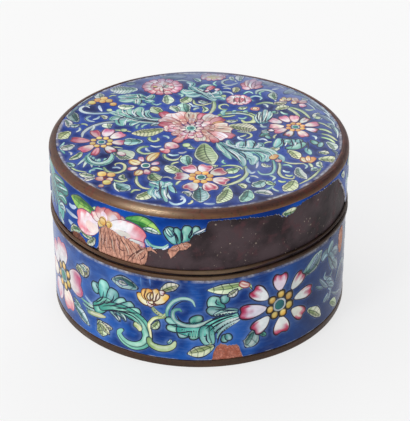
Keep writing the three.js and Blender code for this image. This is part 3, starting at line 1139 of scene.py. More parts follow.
def stroke_faces(rows, lines, first):
    """Faces of one closed pad: quads over the top, one flat quad a row underneath, and a fan at each end.
    Its points are the start, the rows between the ends, and the finish."""
    i, j = np.meshgrid(np.arange(rows - 3), np.arange(lines - 1), indexing="ij")
    a = first + 1 + i * lines + j
    top = np.stack([a, a + lines, a + lines + 1, a + 1], -1).reshape(-1, 4)
    k = first + 1 + np.arange(rows - 3) * lines
    under = np.stack([k, k + lines - 1, k + 2 * lines - 1, k + lines], -1)
    j = np.arange(lines - 1)
    last_row, finish = first + 1 + (rows - 3) * lines, first + 1 + (rows - 2) * lines
    start_fan = np.stack([np.full(lines - 1, first), first + 1 + j, first + 2 + j], -1)
    end_fan = np.stack([np.full(lines - 1, finish), last_row + j + 1, last_row + j], -1)
    caps = np.array([[first, first + lines, first + 1], [finish, last_row, last_row + lines - 1]])
    return np.vstack([top, under]), np.vstack([start_fan, end_fan, caps])


def pad_points(grid):
    """The points of a pad: one at the start, the rows between, and one at the finish."""
    return np.vstack([grid[0, :1], grid[1:-1].reshape(-1, grid.shape[-1]), grid[-1, :1]])


def stroke_map(tile, side, fan, first):
    """Places in the unit tile for the corners of a pad's faces: the top in the middle, the rest below it."""
    spot = np.vstack([[[0, 0.5]], tile[1:-1].reshape(-1, 2), [[1, 0.5]]]) * TILE_SIZE + TILE_CORNER
    side_map, fan_map = spot[side - first], spot[fan - first]
    side_map[-(len(tile) - 3):, :, 1] = UNDER_ROW
    fan_map[-2:, :, 1] = UNDER_CAPS
    return side_map, fan_map


class Painting:
    """Strokes on one surface. on_surface(a, b, height) gives the places of flat points (a, b) in
    millimetres; unit turns the painter's own coordinates, such as degrees round the box, into millimetres;
    film(a, b) says how strongly a painted grey glare covers the colours."""

    def __init__(self, on_surface, unit=(1.0, 1.0), first_lift=FIRST_LIFT, *, seed, ground, film=None):
        self.on_surface, self.unit, self.lift, self.seed = on_surface, np.array(unit), first_lift, seed
        self.ground, self.film = ground, film
        self.strokes, self.covered = [], []

    def stroke(self, name, points, width, **changes):
        """Adds a stroke of a kind, through points in the painter's coordinates."""
        self.seed += 1
        stroke = Stroke(np.asarray(points) * self.unit, width, {**KINDS[name], **changes}, self.seed)
        a, b = stroke.place[..., 0], stroke.place[..., 1]
        colour = stroke_colour(stroke, self.seed, self.ground)
        # A painted grey glare over the strokes, as strong as film says.
        if self.film:
            colour = blend_to(colour, display(GLARE_GREY), self.film(a, b))
        self.lift += NEXT_LIFT
        if name != "ink":
            self.covered.append(stroke.place[2:-2, 1:-1].reshape(-1, 2))
        place = self.on_surface(a, b, -DIP + (self.lift + DIP) * stroke.height)
        self.strokes.append((place, colour, stroke.tile))

    def table(self, rows):
        """Adds a stroke for each row: kind, width, then the coordinates of its points one after another."""
        for name, width, *flat in rows:
            self.stroke(name, np.reshape(flat, (-1, 2)), width)

    def lines(self, name, width, rows):
        """Adds strokes of one kind and width, one for each row of coordinates."""
        self.table([(name, width, *flat) for flat in rows])

    def leaf(self, name, x0, y0, x1, y1, width, bow=0.08, **changes):
        """A leaf or petal from its foot (x0, y0) to its tip (x1, y1), bowed to the left by bow times its
        length."""
        foot, tip = np.array([x0, y0]) * self.unit, np.array([x1, y1]) * self.unit
        self.stroke(name, np.array(bowed(foot, tip, bow)) / self.unit, width, **changes)

    def dot(self, name, x, y, radius, **changes):
        """A round pad."""
        half = radius / self.unit[0]
        self.stroke(name, [(x - half, y), (x, y), (x + half, y)], 2 * radius, **changes)

    def eye(self, x, y, radius):
        """The middle of a flower: a green dot in a white ring."""
        self.dot("white ring", x, y, radius * 1.35)
        self.dot("green eye", x, y, radius)

    def piece(self, name):
        """Joins the strokes into one piece with a colour attribute and a map of one tile for each stroke."""
        columns = math.ceil(math.sqrt(len(self.strokes)))
        points, colours, quads, tris, quad_map, tri_map = [], [], [], [], [], []
        first = 0
        for number, (place, colour, tile) in enumerate(self.strokes):
            points.append(pad_points(place))
            colours.append(pad_points(colour))
            side, fan = stroke_faces(*tile.shape[:2], first)
            corner = np.array([number % columns, number // columns]) / columns
            side_map, fan_map = stroke_map(tile, side, fan, first)
            quad_map.append(corner + side_map / columns)
            tri_map.append(corner + fan_map / columns)
            quads.append(side)
            tris.append(fan)
            first += len(points[-1])
        quads, tris = np.vstack(quads).tolist(), np.vstack(tris).tolist()
        made = make_piece(name, np.vstack(points), quads + tris, PAINT)
        values = undo_curve(np.vstack(colours))
        opaque = np.hstack([values, np.ones((len(values), 1))])
        paint = made.data.attributes.new("paint", "FLOAT_COLOR", "POINT")
        paint.data.foreach_set("color", opaque.astype(np.float32).ravel())
        flat = np.vstack([np.vstack(quad_map).reshape(-1, 2), np.vstack(tri_map).reshape(-1, 2)])
        made.data.uv_layers.new(name="OFBake").data.foreach_set("uv", flat.astype(np.float32).ravel())
        print(name, "is", len(self.strokes), "strokes,", 2 * len(quads) + len(tris), "triangles")
        return self


print("a pad of 6 rows by 4 points has", sum(len(faces) for faces in stroke_faces(6, 4, 0)), "faces")

# %% The painter's colours


def painted_glass(name):
    """Opaque painter's colours: the stroke's own colour, a little uneven, glossy, with a soft ripple."""
    paint = Finish(name, Specular_IOR_Level=0.2, Coat_Weight=0.06, Coat_Roughness=0.1)
    own = paint.marked("paint", "Color")
    uneven = paint.use(CLOUDS, Scale=420.0, Low=0.3, High=0.7)
    worn = paint.use(CLOUDS, Scale=150.0, Low=0.55, High=0.85)
    darker = paint.mix(1.0, own, (0.7, 0.74, 0.76, 1), "MULTIPLY")
    colour = paint.mix(paint.plus(paint.times(uneven, 0.6), 0.2), own, darker)
    paint.set("Base Color", paint.tint(colour, "8f8f9c", worn, 0.12))
    paint.set("Roughness", paint.plus(paint.times(worn, 0.2), 0.24))
    paint.bump(uneven, 0.15, 0.0001)
    return paint.material


PAINT = painted_glass("painter's colours")
print("the paint has", len(PAINT.node_tree.nodes), "nodes")

# %% [markdown]
# ## The lid's top
# A large peony fills the middle, and lesser flowers stand round it among curling stems, turquoise acanthus
# leaves and small leaves of five greens. The pattern never repeats exactly, so a loop can't place it, and
# each stroke is set one by one. Places are millimetres from the middle, x to the right and y to the back.
# Stems come first, then leaves, then petals, and beads and eyes last, as a painter would lay them.

# %% Stems of the lid's top
TOP_GROUND = "2a3f92"


def on_top(x, y, height):
    """Places on the top; nothing reaches under the rim."""
    within = np.minimum(1, 47.1 / np.maximum(np.hypot(x, y), 1))
    return np.stack([x * within, y * within, top_height(x, y) + height], -1)


def all_of(name, *rows):
    """Rows of one kind of stroke: the name of the kind is put before each."""
    return [(name, *row) for row in rows]


# Each row: kind, width, then x and y of the points the stroke runs through.
TOP_VINES = [
    *all_of("vine",
            (1.6, -31, -21, -29.5, -24, -26.5, -25, -24.2, -23, -24, -20, -25.5, -18.4, -27.2, -19, -27,
             -20.4),
            (1.6, -20, -27, -20, -31, -18, -34.5, -14.5, -35.5),
            (1.8, -16.4, -7.2, -19, -7.6, -20.2, -10, -18.2, -12.2, -13.6, -11.4),
            (1.7, -11.4, -11.6, -11.2, -14.6, -9, -16.6, -6.4, -15.6, -5.8, -13.2)),
    ("pale vine", 1.2, -9.6, -43, -7.5, -45, -4.8, -43.5, -4.6, -40.5),
    *all_of("vine", (1.3, -31, -8.4, -27.6, -7.8, -25, -8.6),
            (1.7, -16.4, -0.4, -16.6, -2.6, -15, -3.8, -13.4, -2.6, -14, -1),
            (1.3, -42.6, -19, -40, -23, -36, -24.6)),
    ("teal vine", 1.2, -44, -12, -45.6, -8, -44.6, -4),
    ("vine", 1.2, -27.4, -29.4, -25, -30.6, -22.6, -29.6),
    ("vine", 1.9, 14.5, -19, 15.2, -25, 13.6, -29, 10.4, -32, 7, -33.5),
    ("pale vine", 1.3, 18.5, -14.5, 18.8, -18, 18.5, -22),
    ("teal vine", 1.5, 24, -16, 24.2, -22, 23, -25.5, 20, -25.8, 18.8, -23.5),
    ("pale vine", 1.2, 15.4, -22, 16.6, -25.2, 18.2, -24.2),
    *all_of("vine", (1.3, 7, -20.6, 10, -20, 13, -21, 14, -23), (1.3, 8, -28, 11, -28, 13.6, -26),
            (1.5, 25, -14, 26, -20, 25.6, -25, 27, -28, 30, -29, 30.5, -26.5),
            (1.2, 35.6, -18, 36.4, -20.6, 37, -23), (1.4, 27, -17.6, 30, -19, 34.4, -19),
            (1.3, 31, -8, 29.5, -10, 29, -12)),
    ("teal vine", 1.3, -3, -32.6, 1.6, -34.4, 5, -33.4),
    ("teal vine", 1.2, 20, -36.4, 23, -34, 24.4, -30.4),
    *all_of("vine", (1.3, 39.4, -22, 36, -28, 31.6, -32.6), (1.3, 9.5, -33.4, 8.2, -35, 7.4, -37),
            (1.2, 40.8, 1.6, 43.6, 0, 46, -3.6), (1.2, 40.6, -0.8, 43.2, -2.2, 45.2, -5),
            (1.7, 38.4, 4.6, 42, 4.2, 44.6, 1.6), (1.4, 39.6, 9.8, 42.4, 8, 45, 4.4),
            (1.3, 12.6, 3, 16.4, 2, 17.4, 0, 15.6, -2), (2.0, 5, 26, 5, 20.4, 3.4, 15.4),
            (1.4, -2, 26.6, -1.6, 23.4, 1, 22.2, 4.4, 24)),
    ("pale vine", 1.2, 0.4, 22, -2.2, 21.6, -3.4, 24),
    *all_of("vine", (1.3, 10, 19.4, 7.6, 19.6, 7.2, 22, 9.2, 23, 10.4, 21.4),
            (2.9, 6, 14.6, 11, 16.6, 16, 16.2, 19, 13.2, 18.2, 10.2, 15.6, 9.6, 14.2, 11.8),
            (1.4, 7.4, 13.6, 10.4, 14, 12.6, 15),
            (2.0, 19.4, 22.8, 23, 24.2, 27, 22.8, 31, 19.4, 33.8, 15, 34, 12.2),
            (1.8, 31, 21, 35, 18, 37.8, 12.6)),
    ("grey vine", 1.9, 20, 30.6, 20.6, 33.4, 24.4, 33.6, 26.6, 30, 26.4, 25),
    ("teal vine", 1.2, 19, 25.4, 17.6, 27.6, 19.6, 29.4, 21.8, 28, 21, 26),
    ("pale vine", 1.3, 7, 32.2, 10.4, 32.2, 12, 30.2), ("pale vine", 1.1, 6.6, 27.4, 8, 29, 9.4, 27.6),
    ("grey vine", 1.4, 12, 38, 9, 38.4, 8.4, 41, 11.6, 42.2, 13.4, 40),
    ("teal vine", 1.4, 15.4, 30.6, 17.4, 32.6, 19, 31), ("pale vine", 1.2, 14, 39.6, 10.6, 37.4, 8, 36.4),
    *all_of("grey vine", (1.3, 24, 36.6, 27.4, 37.4, 30, 34.8),
            (2.0, -26, 10.4, -30, 10.2, -34, 8.6, -37, 5.8, -38.9, 2.4, -39, -1.2),
            (1.2, -36.4, 3.4, -35.4, 6, -35.8, 8.2)),
    *all_of("pale vine",
            (1.7, -29, 17, -33, 16.6, -37, 16.6, -40, 18, -40.6, 20.4, -39, 21.8, -37.4, 20.4),
            (1.4, -36.8, 14.6, -38.4, 12.8, -37.4, 10.8, -35.2, 10.4),
            (1.2, -34.4, 22.4, -34, 20, -33.2, 17.8)),
    ("vine", 1.5, -28.6, 4.4, -25.4, 3.8, -22.6, 3), ("grey vine", 1.3, -2.6, 40.4, -6, 41.8, -10, 41),
    ("grey vine", 1.4, -41.6, 21.6, -38.4, 27.4, -34, 30.4),
    ("teal vine", 1.3, -16.6, 24, -14.6, 22.6, -12.8, 24),
    *all_of("grey vine", (1.3, 37, 28, 34.6, 31, 31, 33), (1.2, -31, 31.4, -27, 31.4, -25, 32.4),
            (1.6, -12, 46, -6, 46.8, 0, 46.4)),
    ("pale vine", 1.2, 38.6, 13, 41, 12, 42.6, 14), ("grey vine", 1.3, 38, 33, 41.4, 28, 43.6, 22.6),
]
print(len(TOP_VINES), "stems")

# %% Acanthus of the lid's top
# Turquoise acanthus: a tapering body, rounded lobes along it, and pale tips.
TOP_ACANTHUS = [
    *all_of("mass", (5.4, -9.6, 10.8, -15, 11, -21, 12.4, -26, 15.6, -31, 17.6),
            (4.6, -21, 12.6, -26, 15.6, -27.6, 19.6), (4.6, -19.6, 12.4, -23.4, 16.6, -24, 20),
            (4.8, -17, 11.6, -20.6, 16, -20, 21.4), (3.2, -16, 12, -18.4, 15.6, -17, 19),
            (5, -20.6, 13, -26, 11.6, -26, 7.2), (3.4, -24, 12.6, -28.6, 13, -30, 11),
            (2.6, -20, 10.6, -22.4, 9, -23, 7.2), (4.4, -17.4, 27, -22, 28.6, -28.4, 28.6),
            (4.2, -20, 28, -25, 26.2, -28, 26.2), (3.8, -20.4, 27, -21.4, 31),
            (3.4, -21.4, 27.4, -21.4, 23.2), (3, -19, 26.4, -16.8, 28.4, -16, 30.6),
            (2.6, -19, 26, -16.6, 25.2, -15.6, 26.2), (2.2, -21.6, 24.6, -19.4, 23, -18.2, 23.6),
            (3, -24, 29, -25.4, 30.6), (5, -3.4, 37, -0.8, 33.4, 3, 30, 5.8, 25.4),
            (4, -0.4, 33, -4, 32, -6, 34.6), (3.4, 1.4, 31, -2, 29.6, -5, 30.6),
            (3.6, 3, 30, 6.4, 31, 6.4, 34), (2.8, 4.6, 27.6, 7.4, 28, 9, 26),
            (2.8, 0, 35, 2.4, 37.4, 5.4, 36.6), (2.6, -3, 36, -2.4, 39, -4.6, 40),
            (4.2, 12.4, -9, 15, -13.6, 17.6, -15.6, 17.2, -20), (3.2, 18, -10.4, 21, -14, 20.6, -18),
            (2.6, 12.6, -8.6, 10, -5.6, 9.6, -2.8), (2.4, 23, -11.6, 26.6, -14.4, 27.4, -18),
            (4.8, 6.4, -4.6, 10, -7.4, 15, -9, 20, -9.6, 24, -12, 24.6, -16.6),
            (4.2, 13.4, -9.4, 13.6, -6.6, 14.6, -3.8), (3.8, 17, -9.4, 17.2, -6, 16.8, -2.8),
            (2.8, 18.4, -9, 20.4, -6.6, 19.6, -4.6), (3.4, 8.4, -8, 12, -13, 14, -16.6, 14.5, -21),
            (2.2, 7.4, -7, 8.8, -12, 10.6, -16), (2.4, 12.6, -12.6, 16, -12, 17.4, -14.6),
            (2.4, 16.6, -11, 20, -12, 21, -15.2), (2, 6, -5, 6.8, -8.4, 8.4, -11.4),
            (2.2, 21, -12, 22.4, -14.6, 22, -18), (4, -15.6, -31, -12.4, -33.8),
            (3.6, -8.6, -31, -12, -34), (3.2, -12.4, -30, -12.4, -35.4),
            (2, -13, -35, -13.6, -38, -12.2, -41.4), (2, -11.5, -35, -11.5, -39, -10, -43.6),
            (2, -9.5, -33, -8.4, -36, -7, -38), (1.6, -14.4, -34, -15.6, -37, -15, -39.6),
            (2.6, -37, -13.2, -35.6, -17.5, -32.4, -19.2, -29.4, -17.5, -28.4, -14, -28.8, -12.2),
            (1.5, -35.2, -17.2, -34.4, -14.4), (1.5, -33, -18.4, -32.4, -15.6),
            (1.5, -30.4, -17.8, -30.6, -15.2), (3.6, 25, -8.4, 26.4, -5, 26.6, -1.6)),
    *all_of("lobe", (5, 27, -2.6, 31, -4.6, 35, -7.4), (4, 28, -8.8, 32, -8, 35.4, -4.4),
            (3.4, 29, -6, 29.6, -2), (3.2, 32.6, -5.6, 33.6, -2)),
    ("mass", 2.2, 35.2, -8.4, 36.6, -13.2),
    *all_of("lobe", (3, 37, -2.8, 39.4, -6.4), (2.6, 40.8, -4, 39.6, -8.4), (2.4, 24, -2.4, 22, 0.6)),
    *all_of("mass", (2.6, 20.6, 8.8, 20, 12.6, 21, 17.4), (3, 21, 8.6, 22, 13, 22.8, 19.2),
            (2.8, 21.4, 8.8, 23.6, 12.6, 24.4, 17.8)),
    ("lobe", 1.8, 24.4, 17, 26.8, 17.2),
    *all_of("mass", (1.8, 8.6, 14.6, 8, 17, 9.4, 18.6), (1.8, 11.6, 16, 12.4, 18.6),
            (1.6, 15, 16.6, 16.6, 18.4)),
    *all_of("hazy leaf", (3.4, 38.4, 25, 41, 21.4, 43, 17.6), (3.6, 29.4, 30.6, 32, 33, 34.6, 35.2),
            (3, 43, 15.6, 45, 11.6, 46, 7.6), (3, -22, 39.4, -26, 38), (3.6, -14, 43.4, -4, 44.6),
            (3, 22, 39.6, 27, 38), (2.6, 40.4, 22, 43.4, 18.6, 44.6, 14.6),
            (2.4, 36.4, 30.4, 38.4, 27.6, 40.2, 23.4), (2.2, 44.4, 8, 46, 4, 46.2, 0.6),
            (2.2, 32.4, 30.6, 36, 30, 38.6, 27), (2.4, 39.8, 15.6, 42.6, 13.4, 44.8, 9.6),
            (2, 26, 38.4, 29.4, 37.4, 32.4, 34.4), (2, 43.6, -9.6, 45.4, -12.6, 44.6, -16),
            (2, -41, 23.4, -38.6, 27.6, -35.6, 31), (2, -44.4, 14, -43.4, 18, -41.4, 21.6)),
]
# Pale pen strokes on the acanthus.
TOP_LIGHT = [
    (-17.8, 12.4, -19.4, 16, -18.8, 20), (-21.4, 14, -22.8, 17, -22.4, 19.4),
    (-24.6, 15.4, -26.2, 17.6, -26, 19.4), (-28, 16.8, -30, 18, -31.6, 18),
    (-24, 12.8, -25, 10.4, -24.8, 7.8), (-11, 11.6, -16, 11.8, -21, 13.6), (-20, 28.8, -20.6, 30.6),
    (-22.4, 29.2, -26, 29.4), (-18.6, 27.6, -16.6, 30), (-22, 26.4, -21.8, 23.6), (-24, 27, -27.6, 26.8),
    (-2.6, 36.4, 0.4, 32.8, 3.8, 29), (-1.6, 33.4, -4.6, 33, -5.6, 34.4), (3.6, 30.6, 5.8, 31.4, 6, 33.4),
    (8, -6, 12, -8, 16, -9.6, 20, -10), (12.8, -8.6, 13, -6, 13.8, -4.2),
    (16.4, -8.4, 16.4, -5.6, 16, -3.4), (9.4, -9.4, 12.2, -13.4, 13.8, -18),
    (20, -9.4, 23, -11, 24.4, -14.6), (-16, -31, -13.6, -32.4), (-9, -31, -11, -32.8),
    (-13.6, -35.6, -13.8, -38, -12.8, -40.6), (-11, -35.6, -10.8, -39, -9.8, -42),
    (-36.4, -14, -34.8, -17.8, -32.2, -19.2, -29.6, -17.8), (20.4, 11, 20.4, 14.4, 21.2, 17),
    (22, 11, 23, 15, 23.4, 18.6), (23.6, 12, 24.8, 14.4, 25, 16.8), (10, 15.6, 14, 15.9, 17, 14.4),
    (-34.4, -33.6, -31.6, -36), (28.4, -7.4, 29.2, -4.4), (31.6, -7.4, 32.2, -4.4),
    (5.6, -4.6, 6.8, -9, 9, -13), (-27, -31, -26.5, -35, -25, -37.5), (38.6, 26.6, 40.6, 23.6, 42, 20.4),
    (41.4, 21.6, 43.6, 17.6, 44.8, 13.4), (43.4, 13.4, 45.2, 9.6, 45.8, 6), (37, 24, 39, 21, 40, 18),
    (33, 34, 36, 31.6, 38, 28.6), (28, 37.6, 31, 36, 33, 33.6), (45.6, 6, 46.4, 2, 46, -2),
    (42.4, 17.4, 44, 15, 44.4, 12), (20, 40.6, 23, 40.4, 26, 38.8),
]
# Dark pen lines over the acanthus, and the comb of feathery strokes beside it.
TOP_INK = [
    (-10.6, 10, -17, 11.2, -21, 14.4, -21.6, 18.6), (-12, 9.6, -19, 11.4, -24, 15.4, -25, 19),
    (-13, 9.4, -22, 11.8, -28.6, 16.4), (-24.8, 14.6, -27.2, 12, -27, 8.4),
    (-15, 11.6, -18.4, 14.4, -18.6, 18.4), (-19, 28, -22.6, 27.6, -27, 27.6), (-20, 27, -20, 24, -21, 22.6),
    (-19.6, 29, -18.6, 27.4, -17.6, 26), (-1, 35.6, 1.4, 32, 4.6, 27.6), (-2, 33.2, 0.6, 31, 3.6, 27),
    (0, 36, 3.4, 33.4, 5, 30), (7.4, -4.6, 10.4, -8, 14, -10.4, 19, -10.8, 23, -13.4),
    (7, -5.6, 9.4, -10, 12.4, -14.6, 13.2, -19), (15.4, -3, 15.4, -6, 15, -8.4),
    (18.6, -3.6, 18.4, -6.6, 17.8, -8.8), (11.6, -4.4, 12, -6.4), (12.6, -10.6, 14.8, -12.8, 15.4, -16.4),
    (-12.4, -32.4, -12.6, -36, -14.4, -38), (-12, -33, -12.2, -38, -11, -42.6),
    (-10.2, -33, -10, -36, -10.4, -40), (-8.6, -33, -7.6, -35.4, -7.4, -38.6),
    (20.2, 9.6, 19.8, 13.6, 20.4, 18.6), (21.4, 9, 21.4, 14, 22.2, 19.2), (22.2, 9, 23, 14, 23.8, 19),
    (22.4, 9.4, 24.6, 12.8, 25.4, 16.8), (9, 16.6, 13, 17.2, 17, 15.8, 19.4, 13.4),
    (16.6, 16.6, 19, 16.8, 20.4, 14.6), (16.2, 8.8, 19.4, 8.6, 21, 6.8), (27.6, -1.6, 28, -5, 27.4, -8.6),
    (30.6, -2.4, 31, -6, 30.4, -9), (33.4, -2.6, 33.8, -6, 33.6, -9), (36, -3.6, 36, -8, 35.4, -11),
    (-35.8, -14.6, -34, -17.2, -32, -18.2), (-31.4, -17.6, -29.8, -15.8, -29.6, -13.6),
]
TOP_FEATHERS = [
    (-35.5, -11, -37, -15, -39.5, -20), (-35, -13, -36.5, -17, -37.5, -21.6),
    (-34.5, -14, -35, -18, -34.6, -21.6), (-33.8, -15.4, -33, -19, -32, -21),
    (-10.6, -34, -10.2, -38, -8.8, -42), (-14, -35, -14.6, -38.4, -13.4, -42),
]
print(len(TOP_ACANTHUS), "strokes of acanthus")

# %% Stems and scrolls with their pen lines


def pen_lines(work, rows, name, thickness, shift):
    """A thin line along each wider stroke, moved sideways by shift times its width in the middle and
    meeting it at both ends."""
    for kind_name, width, *line in rows:
        points = np.array(line, float).reshape(-1, 2)
        along = np.gradient(points, axis=0)
        along = along / np.linalg.norm(along, axis=1, keepdims=True)
        belly = np.sin(np.linspace(0.1, 0.9, len(points)) * np.pi)[:, None]
        points = points + shift * width * belly * np.stack([-along[:, 1], along[:, 0]], -1)
        points[0] += 0.08 * (points[1] - points[0])
        points[-1] += 0.1 * (points[-2] - points[-1])
        work.stroke(name, points, thickness)


def paint_top_scrolls():
    """Stems, acanthus and their pen lines, in that order."""
    work = Painting(on_top, seed=100, ground=TOP_GROUND, film=top_glare)
    work.table(TOP_VINES)
    pen_lines(work, [row for row in TOP_VINES if row[1] > 1.25], "ink", 0.4, -0.36)
    work.lines("feather", 1.3, TOP_FEATHERS)
    work.table(TOP_ACANTHUS)
    for row in TOP_ACANTHUS:
        if row[0] == "mass" and row[1] >= 2.6:
            pen_lines(work, [row], "light", 0.5, 0.3)
            pen_lines(work, [row], "ink", 0.4, -0.26)
    work.lines("ink", 0.6, TOP_INK)
    work.lines("light", 0.62, TOP_LIGHT)
    for x, y, radius in ((-25.2, 4, 1.2), (-4.2, -6.6, 1.5), (-30.8, 18.6, 1.1), (40.4, 12.6, 1.1),
                         (8.6, 29, 1)):
        work.dot("vine", x, y, radius, ends=(0.5, 0.5))
    return work.piece("lid_top_scrolls")


top_scrolls = paint_top_scrolls()

# %% [markdown]
# The small leaves are drawn from foot to tip, a little bowed. The larger ones have finer veins, because the
# same brush made them all, so more lines fit across a long leaf.

# %% Leaves of the lid's top
# Each row: kind, foot x and y, tip x and y, width, bow.
TOP_LEAVES = [
    *all_of("yellow leaf", (1.6, -4.8, 4.6, -19.8, 7.4, -0.06), (-11.4, 5.2, -23, 1.8, 5.4, 0.08),
            (9.4, 7, 19.8, 4, 5.8, 0.05)),
    ("teal leaf", -4, 16, -5.4, 24.6, 5.2, 0.05), ("pale leaf", -7.2, 16.8, -10.2, 22, 3.8, -0.1),
    ("yellow leaf", -11.8, 15.6, -16.4, 21.6, 4.6, 0.05),
    ("pale leaf", -11.4, 30.6, -10.8, 22.8, 4.4, 0.05), ("green leaf", -3.2, 29.8, -6.6, 24.2, 4.4, 0.1),
    ("yellow leaf", 12, 31.6, 12.8, 36.6, 3.2, -0.1), ("pale leaf", -30, 5.2, -31, 9.6, 4, 0.08),
    ("yellow leaf", -43, 3.6, -46.6, -2.6, 5, -0.06), ("pale leaf", -41, -5.6, -46.2, -9.2, 4, 0.06),
    ("green leaf", -38.4, -10.4, -42.6, -16.6, 3, 0.1), ("pale leaf", -28.4, -9.8, -21.6, -16, 6.8, 0.04),
    ("yellow leaf", -5, -25.4, -11, -19.8, 4.8, 0.08), ("green leaf", -15.4, -24.6, -12.4, -30.2, 5, -0.08),
    ("pale leaf", -32.8, -27, -39, -25.2, 3.2, 0.08), ("pale leaf", -32.8, -28.2, -37, -30.2, 2.6, -0.1),
    ("yellow leaf", -14.8, -36, -20.2, -41.6, 4.6, 0.1), ("yellow leaf", 9.4, -34.4, 5.4, -44.6, 4.8, 0.08),
    ("green leaf", 13.2, -21.4, 7.8, -24.4, 4, 0.1), ("yellow leaf", 26.2, -6.4, 23, -10.4, 3.2, 0.12),
    ("yellow leaf", 29, -9.6, 32.6, -16.4, 4, 0.08), ("pale leaf", 31.8, -21, 34.6, -29.6, 3.8, -0.1),
    ("yellow leaf", 38.4, -16, 46, -17.4, 4.4, 0.08), ("yellow leaf", 30.6, -29.4, 26.4, -37.2, 5, 0.08),
    ("pale leaf", 16.8, -37.4, 23.6, -39.4, 3.4, 0.15),
    *all_of("teal leaf", (21.2, -29.4, 16.4, -33.8, 4.4, 0.1), (15.6, -35.4, 12.8, -43.8, 4.8, 0.1),
            (0, -33.6, 0.4, -44.2, 5.8, 0.02), (-27.4, -31.2, -21.4, -36.2, 5, -0.05),
            (-3, -20.6, -4, -12.8, 4.4, 0.08), (-18.2, -3.6, -26.2, -3.6, 5, 0.05)),
    ("pale leaf", 42, -3.8, 44.8, -10.4, 3.6, 0.1), ("green leaf", 26.6, 26, 26, 32.6, 3.4, 0.1),
    ("yellow leaf", 25.4, 24, 30.6, 25.2, 3.2, -0.15), ("yellow leaf", 26, 18.4, 31.4, 21.4, 3.6, 0.1),
    *all_of("pale leaf", (-21, 34.6, -31.6, 34.2, 6, 0.04), (-21.8, 21.6, -28.4, 21.8, 4, 0.1),
            (14.4, 40.4, 15.6, 46.4, 3.4, 0.1), (12.6, 41, 11.4, 45, 2.4, 0.1),
            (-33.2, 26, -34.6, 32.2, 4, 0.1)),
    ("teal leaf", -41, 9.6, -43.8, 18.4, 4.4, 0.06), ("pale leaf", -45.6, 12.4, -44, 5.6, 3, 0.1),
    ("teal leaf", -40, 8.4, -44, 7, 2.8, 0.1), ("yellow leaf", 41.2, 11.6, 41, 17, 3.2, 0.2),
    ("teal leaf", -16.6, 7.2, -12.4, 8.6, 2.6, 0.1), ("green leaf", -1, -9, -3.6, -6, 2.4, 0.2),
    ("green leaf", 38.8, -11.6, 43, -12.6, 3, 0.1),
    *all_of("teal leaf", (24.6, 15.6, 27.4, 17, 2.8, 0.1), (42.6, 8.6, 45.6, 6, 2.6, 0.1),
            (24, 5, 20.6, 2.4, 2.8, 0.1)),
    ("deep leaf", 20, -1, 24, 1.6, 3, 0.1), ("teal leaf", -43.4, -18, -40.6, -21.6, 2.8, 0.1),
    ("green leaf", 1.6, -22.4, 6.6, -20.2, 2.4, 0.1), ("teal leaf", 36, -24.4, 38.8, -22, 2.8, 0.1),
    ("green leaf", 24.4, -33, 21.4, -30, 2.6, 0.1), ("teal leaf", -29.6, -38, -33.6, -33.6, 2.8, 0.1),
    ("teal leaf", -2.4, 43.4, 0.6, 40, 2.6, 0.1), ("green leaf", 17, 21, 13, 20, 2.6, 0.1),
    ("teal leaf", -36, 27.6, -39.4, 21.6, 2.8, 0.1), ("green leaf", 38.2, 28.4, 35.2, 25.8, 2.6, 0.1),
    ("teal leaf", 34, 32, 37.6, 29, 2.8, 0.1),
]


def paint_top_leaves():
    work = Painting(on_top, first_lift=0.06, seed=300, ground=TOP_GROUND, film=top_glare)
    for name, x0, y0, x1, y1, width, bow in TOP_LEAVES:
        large = dict(veins=7, thin=0.26) if math.hypot(x1 - x0, y1 - y0) > 9 else {}
        work.leaf(name, x0, y0, x1, y1, 1.12 * width, bow, **large)
    return work.piece("lid_top_leaves")


top_leaves = paint_top_leaves()

# %% [markdown]
# A flower is a ring of petals that turn from white at the foot to pink or crimson at the tip, then a ring
# of yellow beads, then a green eye in a white ring. Petals could all be set by a loop, but the painter's
# petals differ, so the middle of each is listed, and foot and tip follow from the flower's middle.

# %% A flower


def flower(work, x, y, petals, style, length, width, bead_ring=None, beads=8, bead="bead", bead_r=0.9,
           eye_r=1.2, grow=1.07):
    """Petals about (x, y): each entry is the petal's middle from there, with the kind, length and width
    changed by further entries where given."""
    middle = np.array([x, y])
    for entry in petals:
        offset = np.array(entry[:2], float)
        name, long, wide = (list(entry[2:]) + [None] * 3)[:3]
        long, wide = (long or length) * grow, (wide or width) * grow
        out = offset * work.unit
        out = out / np.linalg.norm(out) / work.unit
        foot, tip = middle + offset - out * long / 2, middle + offset + out * long / 2
        work.leaf(name or style, *foot, *tip, wide, 0.02, notch=0.13 * wide)
    if bead_ring:
        for turn in np.arange(beads) / beads * 2 * np.pi + 0.3:
            spot = middle + bead_ring * np.array([np.cos(turn), np.sin(turn)]) / work.unit
            work.dot(bead, *spot, bead_r)
    if eye_r:
        work.eye(x, y, eye_r)


def ring(count, a, b, turn=0.0):
    """The middles of petals set evenly on an oval."""
    t = np.arange(count) / count * 2 * np.pi + turn
    return np.stack([a * np.cos(t), b * np.sin(t)], -1).tolist()


print("petals of a ring of 4:", np.round(ring(4, 3, 2), 2).tolist())

